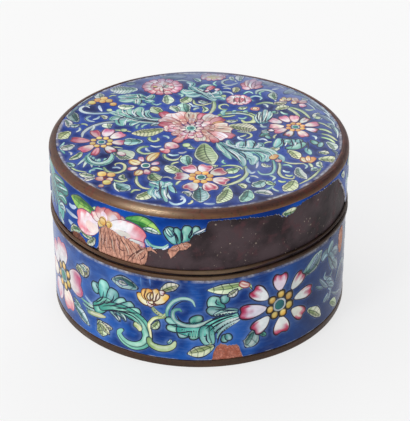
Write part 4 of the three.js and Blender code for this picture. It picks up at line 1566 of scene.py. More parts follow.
# %% Petals and beads of the lid's top
# Petals and buds with places of their own. Each row: kind, foot x and y, tip x and y, width.
TOP_PETALS = [
    *all_of("yellow petal", (-18.6, -19.4, -22.8, -16.2, 4.2), (-16.5, -18, -12.8, -11.2, 4),
            (-16, -21.6, -12.8, -24.2, 3.8), (-18.8, -22.8, -20.8, -27.2, 3.6)),
    *all_of("pink petal", (-18.1, -18, -19, -14.2, 2.4), (-15.8, -20, -12.6, -18.6, 2.6),
            (-19.6, -21.2, -23.4, -22.8, 2.8), (-17.4, -22.6, -16.8, -26.4, 2.8)),
    ("rose petal", 3, 33, 5.4, 37, 3), ("white petal", 3.4, 34.6, 1.8, 32, 2.4),
    ("white petal", 5, 34.4, 7.4, 33.4, 2.6), ("salmon petal", 17.4, 19, 21, 19.2, 3),
    ("yellow petal", 19.2, 18.4, 19.6, 21, 2.2), ("orange bead", 23.4, -16.6, 25.8, -13.2, 2.8),
    ("rose petal", 24.4, -17.2, 27, -17.8, 2.2), ("yellow petal", 35.6, -18.6, 33.4, -14.4, 3.2),
    ("orange bead", 35.6, -18.8, 38, -14.8, 3), ("yellow petal", 35.8, -18, 35.8, -13.6, 2.4),
    ("pink petal", -10.8, -4.4, -8.6, -9.4, 5.6), ("mist", -10.6, -5.2, -10, -7.4, 1.5),
    ("rose petal", -8.6, -2.6, -6, -5, 2.6), ("rose petal", -10.4, -8.6, -12, -12, 3.6),
    ("soft petal", -12, -8.6, -12.6, -10.4, 1.8), ("soft petal", -27, -11.4, -24.4, -13.8, 2.6),
    ("salmon petal", 34.4, 24, 33, 28, 2.8), ("salmon petal", 34.6, 23.6, 37.4, 25.2, 2.8),
    ("pink petal", 34.4, 23, 36.4, 20.6, 2.8),
    *all_of("yellow petal", (33.6, 23, 32.4, 25.4, 2.6), (30, 25, 29.6, 28.6, 2.6),
            (30.6, 25, 32.2, 28, 2.4), (29.4, 25, 28.4, 27, 2.2)),
    ("rose petal", 18.6, 34.4, 15.4, 39.6, 3.4), ("salmon petal", 18.6, 34.4, 17.6, 41.6, 3.4),
    ("soft petal", 18.8, 34.4, 19.8, 42.4, 3.4), ("rose petal", 19, 34.4, 21.8, 40.8, 3.4),
    ("soft petal", 18, 34.2, 15.4, 36.4, 2.6), ("rose petal", 19.4, 34.4, 22.4, 37.4, 2.8),
    ("white petal", 25.6, 3.4, 23, 4.6, 2.4),
]
# The beads of the small flowers. Each row: kind, x, y, radius.
TOP_BEADS = [
    ("bead", -31.2, -25.8, 1.8), ("bead", -28.2, -26.3, 1.6), ("salmon petal", -31.8, -28.8, 1.5),
    ("salmon petal", -28.6, -29.4, 1.3), ("bead", -29.4, -31.2, 1.7), ("salmon petal", -31.2, -33.4, 1),
    ("dark eye", -30, -28.2, 0.9), ("bead", -37, 24.2, 1.6), ("orange bead", -35, 26.2, 1.5),
    ("bead", -33, 27.4, 1.5), ("bead", -31.2, 25.6, 1.5), ("orange bead", -33.4, 25.2, 1.3),
    ("bead", -29.6, 23, 1.4), ("dark eye", 34.2, 24.4, 0.6),
]
# The peony's outer petals, from the upper left round to the left.
PEONY = [
    ("rose petal", -8, 10.4, -13, 17.8, 4.4),
    *all_of("peony petal", (-4.6, 9, -8.6, 17.2, 9), (-6.4, 8.8, -13.4, 12.8, 5.6),
            (-1.6, 9.6, -1.6, 17.4, 6.4)),
    ("rose petal", 0.6, 9.6, 1.8, 16.6, 4), ("peony petal", 2.4, 9, 5.6, 15.6, 6),
    ("rose petal", 3.4, 8, 8.8, 12.6, 4.6), ("orange bead", 4.4, 7.4, 8.8, 9.6, 3.2),
    ("rose petal", -6.6, 7, -14, 9.2, 4.4),
    *all_of("peony petal", (-6.4, 6, -12.4, 5, 4.6), (3.4, 6, 10.4, 7.2, 4.8), (3.4, 3.6, 11.6, 3, 6.4)),
    ("rose petal", 6.6, 1.4, 12, -1.4, 4.2), ("peony petal", 3, 2.4, 9, -2.8, 5.6),
    ("peony petal", 1.4, 1, 4.4, -4.4, 4.8), ("rose petal", 3.4, 0, 5.8, -5.4, 3.4),
    ("peony petal", -0.6, 1.4, 0.6, -4.4, 4.6), ("salmon petal", -3.2, 2.4, -2.4, -2, 4.2),
    ("rose petal", -3.4, 2.4, -6.8, -2.2, 4.6), ("rose petal", -5.4, 0.4, -8.4, -5, 3.8),
    ("pink petal", -5.8, 4, -8.6, 0.6, 4),
]
PEONY_MIDDLE = np.array([-2.6, 5.2])
PEONY_HATCH = [(-3.6, 16, -3.4, 12.6), (5.6, 9, 3.4, 6.4), (5.4, 3, 3, 4), (4.6, 0.6, 2.6, 2.6),
               (-8, 11.4, -5.6, 9.4), (1, 13.6, 0.4, 10.6), (-9.6, 6.6, -6.6, 6), (8.6, 4.8, 5.4, 5)]
# Fine lines on the round flower and the buds at the back.
TOP_HATCH = [(12, 24, 12.4, 28.6), (14, 23.4, 14.2, 29), (16, 24, 15.8, 28.6), (17, 36, 18, 41),
             (19.6, 36, 20.2, 41.4), (-13.2, 35, -11.4, 37.4), (-16.4, 35.6, -14.2, 36),
             (-12.4, 32, -12.6, 34.4), (-9, 37, -10.4, 36.6)]
print(len(TOP_PETALS) + len(PEONY), "petals and buds set one by one")

# %% The peony
INNER_KINDS = ("peony petal", "pink petal", "salmon petal", "soft petal", "peony petal")
# Its rings of small petals. Each row: count, distance of the feet from the middle, length, width.
INNER_RINGS = ((14, 4.2, 3.2, 2.7), (12, 2.9, 2.8, 2.3), (9, 1.3, 2.6, 2.1))


def paint_peony(work):
    """Big outer petals, then three rings of small ones close round a turquoise eye."""
    for name, x0, y0, x1, y1, width in PEONY:
        work.leaf(name, x0, y0, x1, y1, width, 0.05, notch=0.1 * width)
    for count, start, length, width in INNER_RINGS:
        for number, turn in enumerate(np.arange(count) / count * 2 * np.pi + 0.3 * count):
            out = np.array([1.12 * np.cos(turn), np.sin(turn)])
            foot, tip = PEONY_MIDDLE + start * out, PEONY_MIDDLE + (start + length) * out
            name = INNER_KINDS[number * 3 % 5] if start > 2 else "pink petal"
            work.leaf(name, *foot, *tip, width, 0.1)
    work.lines("hatch", 0.7, PEONY_HATCH)
    work.dot("white ring", -2.8, 5.2, 1.9)
    work.dot("green eye", -2.8, 5.2, 1.45, base="5fb8ae", tip="3f9f9a")
    work.dot("dark eye", -2.6, 5.3, 0.55, base="1d3c50", tip="1d3c50")


print("the peony has", len(PEONY), "outer petals and", sum(ring[0] for ring in INNER_RINGS), "inner ones")

# %% Flowers of the lid's top
LEFT_BLOOM = [(-2, 5.8, "rose petal", 6, 3.6), (1.9, 6.6), (5.2, 4.4), (5.6, -0.4, None, 4.8, 3.8),
              (2.9, -5.2, "white petal"), (-1.6, -6.6, "rose petal", 6, 2.8), (-4.8, -4.2),
              (-7, 1.4, "rose petal", 7, 4)]
FRONT_BLOOM = [(-3.4, 5.4), (1.4, 5.6), (5.6, 3.2), (6.2, -2.4), (2.6, -6.2), (-3.2, -5.8), (-6, 0.6)]
RIGHT_BLOOM = [(-6.6, 4.4), (-6.4, 0.6), (-3.2, 5.8), (0, 6), (3.2, 4.6, "white petal"), (5.6, 1.6),
               (5.2, -2.2, "white petal"), (2, -5), (-2.4, -4.6, "white petal"), (-5.4, -2.4)]


def paint_back_flowers(work):
    """Three round flowers without beads at the back, each an outer and an inner ring of petals."""
    flower(work, -12.8, 36.4, ring(13, 5.3, 4.4, 0.2), "pink petal", 4.6, 3.2, eye_r=None)
    flower(work, -12.8, 36.4, ring(9, 2.4, 2, 0.5), "peach petal", 4.4, 2.6, eye_r=None)
    work.table(all_of("mist", (1.4, -13.4, 38, -12.6, 40), (1.2, -10.6, 36.4, -9, 36),
                      (1.2, -13.2, 34.6, -12.6, 33)))
    work.dot("bead", -15.4, 36.2, 0.9)
    work.dot("grey vine", -11.6, 36.6, 1.2)
    flower(work, 13.8, 26.2, ring(10, 3, 2.5, 0.4), "soft petal", 3.4, 2.5, eye_r=None)
    flower(work, 13.8, 26.2, ring(6, 1, 0.9), "rose petal", 2.4, 1.7, eye_r=None)
    flower(work, 5, 44.2, ring(9, 3.2, 1.6), "peach petal", 3.2, 2.9, eye_r=None)
    flower(work, 5, 44.2, ring(4, 1.2, 0.7), "wash", 2.4, 1.8, eye_r=None)


def paint_top_flowers():
    """Round flowers, then petals and buds set one by one, beads and lines, and the peony last."""
    work = Painting(on_top, seed=400, first_lift=0.1, ground=TOP_GROUND, film=top_glare)
    flower(work, -32.4, -4.2, LEFT_BLOOM, "pink petal", 6.2, 4.4, 3, 8, "bead", 1.15, 1.15)
    flower(work, 0.6, -27.8, FRONT_BLOOM, "blotched petal", 6, 5.2, 3, 8, "orange bead", 1.3, 1.3)
    flower(work, 32.5, 6.3, RIGHT_BLOOM, "pink petal", 5.6, 3.7, 2.5, 8, "orange bead", 1.0, 1.1)
    paint_back_flowers(work)
    for row in TOP_PETALS:
        work.leaf(*row)
    for row in TOP_BEADS:
        work.dot(*row)
    work.lines("hatch", 0.7, TOP_HATCH)
    work.dot("white ring", -17.3, -20.4, 1.7)
    work.dot("green eye", -17.3, -20.4, 1.2)
    paint_peony(work)
    return work.piece("lid_top_flowers")


top_flowers = paint_top_flowers()

# %% [markdown]
# Last, the painter filled the bare blue with commas and tiny leaves. They could be strewn by chance, but
# then some would lie over petals. Here each goes on a shuffled grid only where nothing is painted yet,
# first the leaves and then smaller commas in what is left.

# %% Sprigs between the flowers
MARGIN = 4  # how far the grid reaches past the surface
SOWN = 1.0  # share of the bare places that get a sprig


class Cover:
    """A square grid of half-millimetre cells that remembers where a surface is already painted."""

    def __init__(self, span, paintings, allowed):
        """span: half size of the grid; allowed(a, b): true where strokes may go."""
        self.span, self.cell = span, 0.5
        steps = np.arange(-span - MARGIN, span + MARGIN, self.cell)
        a, b = np.meshgrid(steps, steps, indexing="ij")
        self.taken = ~allowed(a, b)
        for work in paintings:
            for place in work.covered:
                self.mark(place)

    def index(self, place):
        return ((np.asarray(place) + self.span + MARGIN) / self.cell).astype(int)

    def mark(self, place):
        i, j = self.index(place).T
        self.taken[i, j] = True

    def bare(self, spot, distance):
        (i, j), k = self.index(spot), int(distance / self.cell)
        return not self.taken[i - k:i + k + 1, j - k:j + k + 1].any()


def sow(work, names, size, cover, distance):
    """Puts a small stroke of about the given (length, width), at a random turn, wherever the cover is still
    bare for a distance round it, trying places on a shuffled grid."""
    random = np.random.default_rng(work.seed)
    step = distance * 0.8
    line = np.arange(-cover.span, cover.span, step)
    places = np.stack(np.meshgrid(line, line), -1).reshape(-1, 2)
    for spot in random.permutation(places + random.uniform(-0.4, 0.4, places.shape) * step):
        if cover.bare(spot, distance) and random.uniform() < SOWN:
            turn, long = random.uniform(0, 2 * np.pi), size[0] * random.uniform(0.8, 1.2)
            along = np.array([np.cos(turn), np.sin(turn)]) * long / 2
            work.leaf(names[random.integers(len(names))], *(spot - along), *(spot + along),
                      size[1] * random.uniform(0.85, 1.2), random.uniform(0.1, 0.35))
            cover.mark(work.covered[-1])


def sow_top():
    """Tiny leaves and commas in the bare places of the top."""
    work = Painting(on_top, seed=700, first_lift=0.03, ground=TOP_GROUND, film=top_glare)
    cover = Cover(47, [top_scrolls, top_leaves, top_flowers], lambda x, y: np.hypot(x, y) < 46.4)
    sow(work, ("yellow leaf", "pale leaf", "teal leaf", "green leaf"), (4.2, 2.6), cover, 1.7)
    sow(work, ("vine", "teal vine", "pale vine", "grey vine"), (3.4, 1.1), cover, 1.0)
    return work.piece("lid_top_sprigs")


top_sprigs = sow_top()

# %% [markdown]
# In the kiln the painter's colours bled a little into the blue round them. The blue could be given a paler
# patch by hand at each flower; here every painted place is marked on a grid, the grid is softened, and the
# glass reads from it how near the paint is.

# %% The bleeding of colours into the blue


def bloom_round(glass, flat, paintings, cell=0.4):
    """Marks how near each point of a glass coat lies to painted strokes: the flat places of the strokes'
    points are set to 1 on a square grid, the grid is softened three times, and read between its cells."""
    done = np.vstack([place for work in paintings for place in work.covered])
    low = done.min(0) - 4
    size = np.ceil((done.max(0) + 4 - low) / cell).astype(int)
    grid = np.zeros(size)
    grid[tuple(((done - low) / cell).astype(int).T)] = 1
    for axis in (0, 1) * 3:
        grid = grid / 2 + (np.roll(grid, 1, axis) + np.roll(grid, -1, axis)) / 4
    x = np.clip((flat - low) / cell - 0.5, 0, size - 1.01)
    i, t = x.astype(int), x - x.astype(int)
    value = sum(grid[i[:, 0] + a, i[:, 1] + b] * np.abs(1 - a - t[:, 0]) * np.abs(1 - b - t[:, 1])
                for a in (0, 1) for b in (0, 1))
    inside = ((flat > low) & (flat < low + (size - 1) * cell)).all(1)
    float_attribute(glass, "bloom", np.where(inside, 1 - np.exp(-2.5 * value), 0))
    print("bloom on", glass.name, "mean", round(float(value.mean()), 3))


def bloom_wall(name, paintings):
    """Lets the painting bleed into the blue of a wall, whose flat places are millimetres round and up."""
    glass = bpy.data.objects[name]
    x, y, z = points_of(glass).T
    bloom_round(glass, np.stack([degrees_of(x, y) * ARC_MM, z], -1), paintings)


top_glass = bpy.data.objects["lid_top_glass"]
bloom_round(top_glass, points_of(top_glass)[:, :2], [top_scrolls, top_leaves, top_flowers, top_sprigs])

# %% [markdown]
# ## Bare metal and broken glass on the walls
# Where the glass is gone the lid shows dark copper with a faintly hammered, corroded skin. Near the big
# flower the colour has flaked only down to a salmon ground coat crazed with brown lines, and the chip on
# the base shows red oxide. All of it could be colours on one wall, but each layer has its own height and
# its own gloss, so each is a thin curved piece between the copper and the blue.

# %% The skin of bare copper


def backed(degrees, r, z, back_r):
    """Places of a plate on a wall, with two more rows that close its back at radius back_r."""
    back = np.full((len(r), 1), back_r)
    r, z = np.hstack([r, back, back]), np.hstack([z, z[:, -1:], z[:, :1]])
    return round_axis(r, np.radians(np.hstack([degrees, degrees[:, :1], degrees[:, :1]])), z)


def copper_skin(rows=60):
    """The lid's bare wall: a thin ring with relief of a few hundredths, finely divided only where it
    shows."""
    degrees = np.concatenate([np.arange(-62, 82, 0.3), np.arange(82, 298, 4.0)])
    a, z = np.meshgrid(degrees, np.linspace(LID_GLASS_LOW - 0.4, LID_GLASS_TOP, rows), indexing="ij")
    relief = noise_2d(a * ARC_MM, z, 21, 3.2) * 0.05 + 0.02 * noise_2d(a * ARC_MM, z, 31, 0.9, 2)
    blister = np.maximum(0, noise_2d(a * ARC_MM, z, 41, 1.6, 2) - 0.45) * 0.16
    points = backed(a, WALL_R + 0.09 + relief + blister, z, WALL_R - 0.3)
    return make_piece("bare_copper_skin", points, ring_faces(len(degrees), rows + 2), COPPER)


copper_skin()

# %% Crazed ground coats


def ground_coat(name, colour, dark, line_colour, stretch, scale, lines):
    """A matt under-coat crazed with branching brown lines."""
    coat = Finish(name, Specular_IOR_Level=0.25)
    place = coat.place()
    bend = coat.noise(place, 1, Scale=260.0, Detail=2.0)
    bent = coat.node("ShaderNodeMix", {0: 0.0016, 4: place, 5: bend}, data_type="VECTOR").outputs[1]
    drawn = coat.node("ShaderNodeMapping", {"Vector": bent, "Scale": stretch}).outputs[0]
    cells = coat.node("ShaderNodeTexVoronoi", {"Vector": drawn, "Scale": scale}, feature="DISTANCE_TO_EDGE")
    cracks = coat.spread(cells.outputs["Distance"], 0.03, 0.14, 1.0, 0.0)
    grains = coat.use(CLOUDS, Scale=700.0, Low=0.3, High=0.7)
    coat.set("Base Color", coat.tint(coat.mix(grains, colour, dark), line_colour, cracks, lines))
    coat.set("Roughness", coat.plus(coat.times(grains, 0.2), 0.6))
    coat.bump(coat.minus(grains, cracks), 0.6, 0.0002)
    return coat.material


UPRIGHT, EVEN = (1.0, 1.0, 0.45), (1, 1, 1)  # how the cells between the cracks are stretched
SALMON = ground_coat("salmon ground coat", "dca690", "c48c78", "7a4a3c", UPRIGHT, 900.0, 0.45)
RED_OXIDE = ground_coat("red oxide", "a85a44", "c88270", "6a3a30", EVEN, 1100.0, 0.4)
DARK_OXIDE = ground_coat("dark oxide", "5c302a", "86543e", "30201c", EVEN, 1100.0, 0.5)
print("ground coats:", SALMON.name, RED_OXIDE.name, DARK_OXIDE.name)

# %% Patches of the ground coats
LID_FOOT, BASE_FOOT = LID_GLASS_LOW - 0.3, FOOT_TOP - 0.05


def edge_height(degrees, points, seed=None, size=0.2):
    """Height of an edge through (degrees, height) points, ragged when a seed is given."""
    height = np.interp(degrees, *zip(*points))
    return height + (ragged(degrees, seed, size) if seed else 0)


def wall_patch(name, lower, upper, radius, material, seed, rough=0.04, rows=14):
    """A thin curved plate on a wall, from a lower to an upper edge. An edge is its (degrees, height) points,
    and then the seed and size of its ragged line where it has one."""
    degrees = np.arange(lower[0][0][0], lower[0][-1][0] + 0.01, 0.2)
    low, high = edge_height(degrees, *lower), edge_height(degrees, *upper)
    z = low[:, None] + np.maximum(high - low, 0.02)[:, None] * np.linspace(0, 1, rows)
    a = np.repeat(degrees[:, None], rows, 1)
    r = radius + noise_2d(a * ARC_MM, z, seed, 0.9, 3) * rough
    r[:, 0] -= 0.15
    points = backed(a, r, z, WALL_R - 0.2)
    along = rows + 2
    last = (len(degrees) - 1) * along
    ends = [list(range(along))[::-1], list(range(last, last + along))]
    return make_piece(name, points, ring_faces(len(degrees), along)[:last] + ends, material)


wall_patch("salmon_patch_large",
           ([(-40.4, LID_FOOT), (-22, LID_FOOT), (-20.6, LID_FOOT + 0.7), (-19.8, LID_FOOT + 1.8),
             (-19.2, 41.6)], 51, 0.15),
           ([(-40.4, 45.5), (-36, 48.8), (-30, 47), (-22, 45), (-20, 44.2), (-19.2, 42.5)],),
           49.72, SALMON, 61)
wall_patch("salmon_thorn", ([(-19.4, 42.8), (-17.6, 43.4), (-15.6, 42.6)],),
           ([(-19.4, 44.6), (-18, 44.6), (-17, 43.8), (-15.6, 42.7)],), 49.68, SALMON, 62)
wall_patch("salmon_patch_small",
           ([(-11.4, 43.6), (-10.4, 41.2), (-9, 42.6), (-7.4, 44.6), (-5, 45), (-3, 46.6)], 52, 0.12),
           ([(-11.4, 44.2), (-10.6, 45.6), (-8, 47.4), (-4.4, 47.8), (-3, 47)],), 49.7, SALMON, 63)
wall_patch("salmon_patch_base", ([(68, 27), (69.4, 23.6), (71.6, 22.8), (73.6, 26)], 53),
           ([(68, 31.4), (69.4, 33.2), (72.4, 33.5), (73.6, 31)], 54), 50.06, SALMON, 64)
wall_patch("oxide_chip_lid", ([(-56, LID_FOOT), (-46.4, LID_FOOT)],),
           ([(-56, 38.4), (-54, 40.2), (-51, 40.4), (-46.4, 38.8)],), 49.7, DARK_OXIDE, 65)
wall_patch("oxide_chip_base", ([(4.4, BASE_FOOT), (16.8, BASE_FOOT)],),
           ([(4.4, 3.4), (5, 6), (6.4, 8.4), (8, 9.3), (12, 8.4), (14.4, 8.5), (16, 5), (16.8, 3.4)],),
           49.72, RED_OXIDE, 66, 0.08)

# %% [markdown]
# The salmon ground is crazed all over by its material, but the deep brown cracks run with the flower's
# petals, fanning down from its middle. A material can't know that, so the cracks are pen strokes.

# %% Cracks in the salmon ground
LID_CRACKS = [
    (-39, 47, -39.4, 44, -38.8, 41, -39.4, 37.5), (-38, 46.4, -37.4, 43, -38.2, 40.4),
    (-37.4, 47.6, -36.8, 44, -37.6, 41.4, -36.4, 37.5), (-35.8, 47.8, -35, 44.6, -35.4, 42, -34.4, 37.5),
    (-34.6, 45, -34, 42, -33.4, 40), (-34, 47.2, -33, 44, -32.8, 41, -31.6, 37.5),
    (-32.4, 46.6, -30.6, 43.4, -30.8, 40, -29.6, 37.5), (-31.4, 46, -31.6, 43.6, -30, 41),
    (-30.4, 46, -29, 44, -27.6, 42.6, -27.4, 39), (-29, 42.4, -28.6, 40.4, -28.8, 37.5),
    (-28.6, 45.6, -26.4, 43.4, -25, 40.4, -25.4, 37.5), (-26.6, 45.4, -24, 43, -22.4, 40, -21.4, 37.5),
    (-21, 43.8, -23, 42.2, -25.4, 40.4, -27.6, 37.5), (-19.8, 44, -22.4, 42.4, -25, 39.6, -26.4, 37.5),
    (-39.6, 43, -37.4, 42.4, -36, 43.4), (-36.8, 40, -34.6, 40.8, -33, 40.2),
    (-31.6, 42, -29.6, 41, -27.8, 41.6), (-24.6, 41.4, -23, 41.8, -21, 41),
    (-33.4, 43.6, -31.4, 44.4, -30, 43.4), (-28, 39.6, -26, 39.8, -24.4, 39),
    (-22, 39.4, -20.8, 40.4, -19.8, 42.4), (-10.6, 44.8, -9, 44.4, -7.2, 45.4),
    (-8, 46.8, -7, 45.6, -7.4, 44.8), (-6, 47.4, -5.2, 46.2, -4, 46), (-23, 44.4, -22, 43.4, -22.4, 42.4),
]
# Crumbs of the coat left between the cracks.
LID_CRUMBS = [
    (-38.4, 44.6, -38, 42, -38.6, 40), (-36.2, 44.4, -36.4, 41.6, -35.6, 39.4),
    (-33.8, 44.4, -33.6, 41.4, -32.6, 39), (-31.8, 45, -31.6, 42.6, -30.6, 40.4),
    (-28.4, 44, -27, 41.8, -26.6, 39.6), (-25.2, 43, -23.6, 40.6, -23, 38.8),
    (-20.2, 43.4, -22.6, 41.6, -24.8, 39), (-40, 40.6, -39.4, 43, -39.6, 45.6),
    (-9.8, 45.4, -8.4, 45.6, -7.6, 46.6), (-5.8, 46.4, -4.8, 46.8, -3.8, 46.6),
]


PATCH_OUTSIDE = 49.74  # radius just outside the salmon patches on the lid


def on_patch(a, b, height):
    """The surface function of the salmon patches."""
    return round_axis(PATCH_OUTSIDE + height, np.radians(a / ARC_MM), b)


def paint_cracks():
    """Every fourth crack is a wide one."""
    work = Painting(on_patch, (ARC_MM, 1.0), first_lift=0.05, seed=900, ground="a86a5a")
    for number, line in enumerate(LID_CRACKS):
        work.lines("crack", 0.24 + 0.2 * (number % 4 == 0), [line])
    work.lines("crumbs", 0.5, LID_CRUMBS)
    work.piece("salmon_cracks")


paint_cracks()

# %% [markdown]
# ## The lid's wall
# Places on the walls are degrees round the box, counted from the front to the right, and height. A peony
# half lost to the flaking sits left of the front, with bright leaves and a turquoise scroll. Cutting the
# strokes with the broken edge would need a Boolean for each; instead the points of a stroke that run past
# the edge drop below the copper, so it breaks off with the glass.

# %% Strokes on the lid's wall


def on_wall(lower, margin=0.12):
    """Returns the surface function of a wall: points below its broken edge drop behind the copper."""
    def place(a, b, height):
        degrees = a / ARC_MM
        r = np.where(b > lower(degrees) + margin, wall_radius(degrees, b) + height, WALL_R - 0.6)
        return round_axis(r, np.radians(degrees), b)
    return place


# Each row: kind, width, then degrees and height of the points the stroke runs through.
LID_STROKES = [
    ("deep scroll", 8.5, -92, 51, -80, 53.6, -71, 50.4, -65, 44.4, -66.4, 38.4),
    *all_of("deep lobe", (4.4, -73, 52.4, -66, 53.4, -60, 54.6), (4.8, -70, 49.8, -63, 51.6, -57.2, 52.8),
            (4.4, -68, 46.8, -62.6, 48.8, -58.8, 47.6)),
    *all_of("light", (0.8, -71, 52.8, -66, 53.8, -61.4, 54.6), (0.8, -66, 51.2, -61.6, 52.4, -58.4, 53),
            (0.7, -66, 47.8, -62.6, 49.2, -59.6, 48.4)),
    ("pale acanthus", 3.2, -66.6, 44, -62.6, 45.4, -60, 43.8),
    ("pale acanthus", 2.6, -66.6, 41.6, -64.6, 39.4, -61.6, 38.9),
    *all_of("deep lobe", (2.0, -88, 50.6, -79, 51.4, -71.6, 48.4, -67.4, 43.4),
            (1.8, -84, 48.4, -78, 48.4, -72.8, 45.4, -69.8, 41.4), (3.4, -82, 46, -78, 44.6, -75.4, 40.6)),
    *all_of("ink", (0.9, -88, 52.4, -79, 52.6, -71, 49.4, -66.6, 44),
            (0.9, -86, 49.4, -78, 50, -72, 47, -68.6, 42.6), (0.7, -72.6, 51.4, -66, 52, -61, 53),
            (0.7, -69, 48.4, -64.6, 50, -60, 50.4), (0.7, -67.6, 45.6, -64, 47.2, -61, 46.6),
            (0.7, -82, 47.4, -77, 46.8, -73.4, 43.4)),
    *all_of("pale vine", (1.7, -57.4, 48.8, -55, 48.5, -52, 49.8),
            (1.5, -60, 45.8, -56, 45.4, -51.4, 45.6), (1.7, -58.4, 42.2, -55, 41.8, -52.8, 42.6),
            (1.3, -20, 47.8, -18.6, 45.5, -15.6, 44.8, -12.8, 44.9, -11, 46.4)),
    ("teal vine", 1.1, -19.4, 47.6, -17.8, 45.8, -15.4, 45.3, -13, 45.5, -11, 47),
    ("lobe", 5.2, -8, 46.6, -10, 50.6, -12.8, 52.6),
    ("pale acanthus", 2.4, -9.4, 49.6, -11, 51.4, -12, 53.2),
    *all_of("lobe", (3.2, -7.6, 46.6, -7.2, 50, -8.8, 53.6), (4.4, -5.6, 47.2, -4.4, 51, -4.4, 54.6),
            (3.4, -4, 49.4, -1.6, 51.4, -0.6, 54.4)),
    ("pale acanthus", 2.4, -2.4, 50.6, 0.4, 51.6, 3.2, 53.4),
    *all_of("ink", (0.9, -7.6, 47.6, -8, 50, -10, 52.4), (1.0, -6.4, 47.4, -6, 50, -6.8, 53),
            (0.9, -4, 49.4, -2.6, 51.4, -2.4, 53.8)),
    ("vine", 1.2, -41, 53.8, -42.6, 52.4, -44, 52), ("pale acanthus", 4.4, 77, 47.4, 84, 46.8, 92, 42.6),
    ("lobe", 4.2, 80, 43, 86, 41, 93, 42), ("pale acanthus", 3.4, 86, 50, 92, 51.6, 97, 50),
    ("pale vine", 1.6, 78, 52, 76.4, 48, 79, 44),
]
# Each row: kind, foot in degrees and height, tip in degrees and height, width, bow.
LID_LEAVES = [
    ("bright leaf", -41.2, 51.8, -56, 52.6, 6.2, 0.03), ("bright leaf", -28.4, 53.2, -13.4, 50, 5.6, 0.12),
    ("pale leaf", -21, 51.4, -14, 50.2, 2.2, 0.05), ("green leaf", -49.4, 41.8, -57, 38.8, 3.8, -0.08),
    ("green leaf", -50.6, 42, -42.4, 41.6, 2.6, -0.08), ("yellow leaf", -41.6, 42.4, -46.8, 38, 3.2, 0.1),
    ("green leaf", 31, 54, 39, 54, 3.8, -0.06), ("peach petal", -39.6, 46.8, -52.6, 46, 9.4, 0.02),
    ("mist", -39.8, 45.6, -46.6, 46, 4.4, 0.05), ("mist", -40, 48.4, -46, 48.4, 2, 0.05),
    *all_of("peach petal", (-38.4, 49.6, -42.2, 52.6, 5, 0.1), (-36.8, 49.4, -38.4, 55.2, 6.4, 0),
            (-30.8, 49, -26.8, 53.4, 5.6, 0), (-33.4, 49.2, -32.8, 55.6, 7, 0)),
    *all_of("mist", (-36.4, 49.4, -37.4, 53.4, 2.6, 0), (-33, 49.4, -32, 53.6, 3.2, 0),
            (-31, 49.4, -28.6, 52, 2.6, 0)),
    ("peach petal", -35, 49.2, -19, 46.8, 8.6, 0.05), ("mist", -32, 47.9, -25.4, 47.2, 2.4, 0.0),
    ("soft petal", -26.4, 46.4, -19.4, 45.4, 2.8, -0.1),
    *all_of("wash", (-33.6, 48.4, -40, 48.8, 3.6, 0.1), (-37.4, 48, -36.8, 51.4, 3, 0.1),
            (-35, 48, -33.8, 50.6, 2.4, 0.1)),
    ("green leaf", 76, 55, 88, 51.6, 4.6, 0.06), ("pale leaf", 67, 55, 72, 52, 3, 0.1),
    ("green leaf", 84, 46, 91, 48, 3.4, 0.06),
]
print(len(LID_STROKES), "strokes and", len(LID_LEAVES), "leaves and petals")

# %% Painting on the lid's wall
OVER_LIFT = 0.006  # wide strokes that overlap on a round wall need more than the usual step


def lid_repeat(work, turn):
    """The plainer half of the pattern, for the hidden side: a flower between leaves, and a scroll."""
    petals = [(7 * math.cos(t) / ARC_MM, 4.8 * math.sin(t)) for t in np.arange(8) / 8 * 2 * math.pi]
    flower(work, turn, 47, petals, "white petal", 5.4, 4.4, 2.6, 7, "bead", 0.9, 1.3, 1.0)
    for side in (-1, 1):
        for row in (("vine", 1.8, 10, 46, 15, 42, 21, 44, 20, 48), ("scroll", 4, 12, 49, 18, 53, 24, 51),
                    ("lobe", 3.6, 16, 51, 21, 48.6, 26, 47)):
            name, width, *flat = row
            work.stroke(name, np.reshape(flat, (-1, 2)) * (side, 1) + (turn, 0), width)
        for name, x0, y0, x1, y1, width in (("bright leaf", 9, 50, 15, 54.6, 3.4),
                                            ("teal leaf", 9, 43, 16, 39.8, 3.6),
                                            ("yellow leaf", 22, 44, 28, 41, 3.4)):
            work.leaf(name, turn + side * x0, y0, turn + side * x1, y1, width)


def paint_lid_wall():
    """The front set stroke by stroke, then the plainer repeats out of sight."""
    work = Painting(on_wall(lid_break), (ARC_MM, 1.0), seed=700, ground="0e3a9a")
    work.table(LID_STROKES)
    for name, x0, y0, x1, y1, width, bow in LID_LEAVES:
        work.leaf(name, x0, y0, x1, y1, width, bow, notch=0.1 * width if "petal" in name else 0)
        work.lift += OVER_LIFT
    for x, y, radius in ((-37.6, 49.6, 1.5), (-34.9, 49.3, 1.0), (-36.4, 47.8, 0.8)):
        work.dot("bead", x, y, radius)
    for turn in (128, 188, 248):
        lid_repeat(work, turn)
    bloom_wall("lid_wall_glass", [work.piece("lid_wall_painting")])


paint_lid_wall()

# %% [markdown]
# ## The base's wall
# The base carries one running pattern: big eight-petalled flowers joined by turquoise acanthus scrolls, with
# a rosebud between. The front is set stroke by stroke. The back could be set in the same way, but a painter
# repeats a pattern by turning it, and so does the loop here: it takes the simpler parts, turned round.

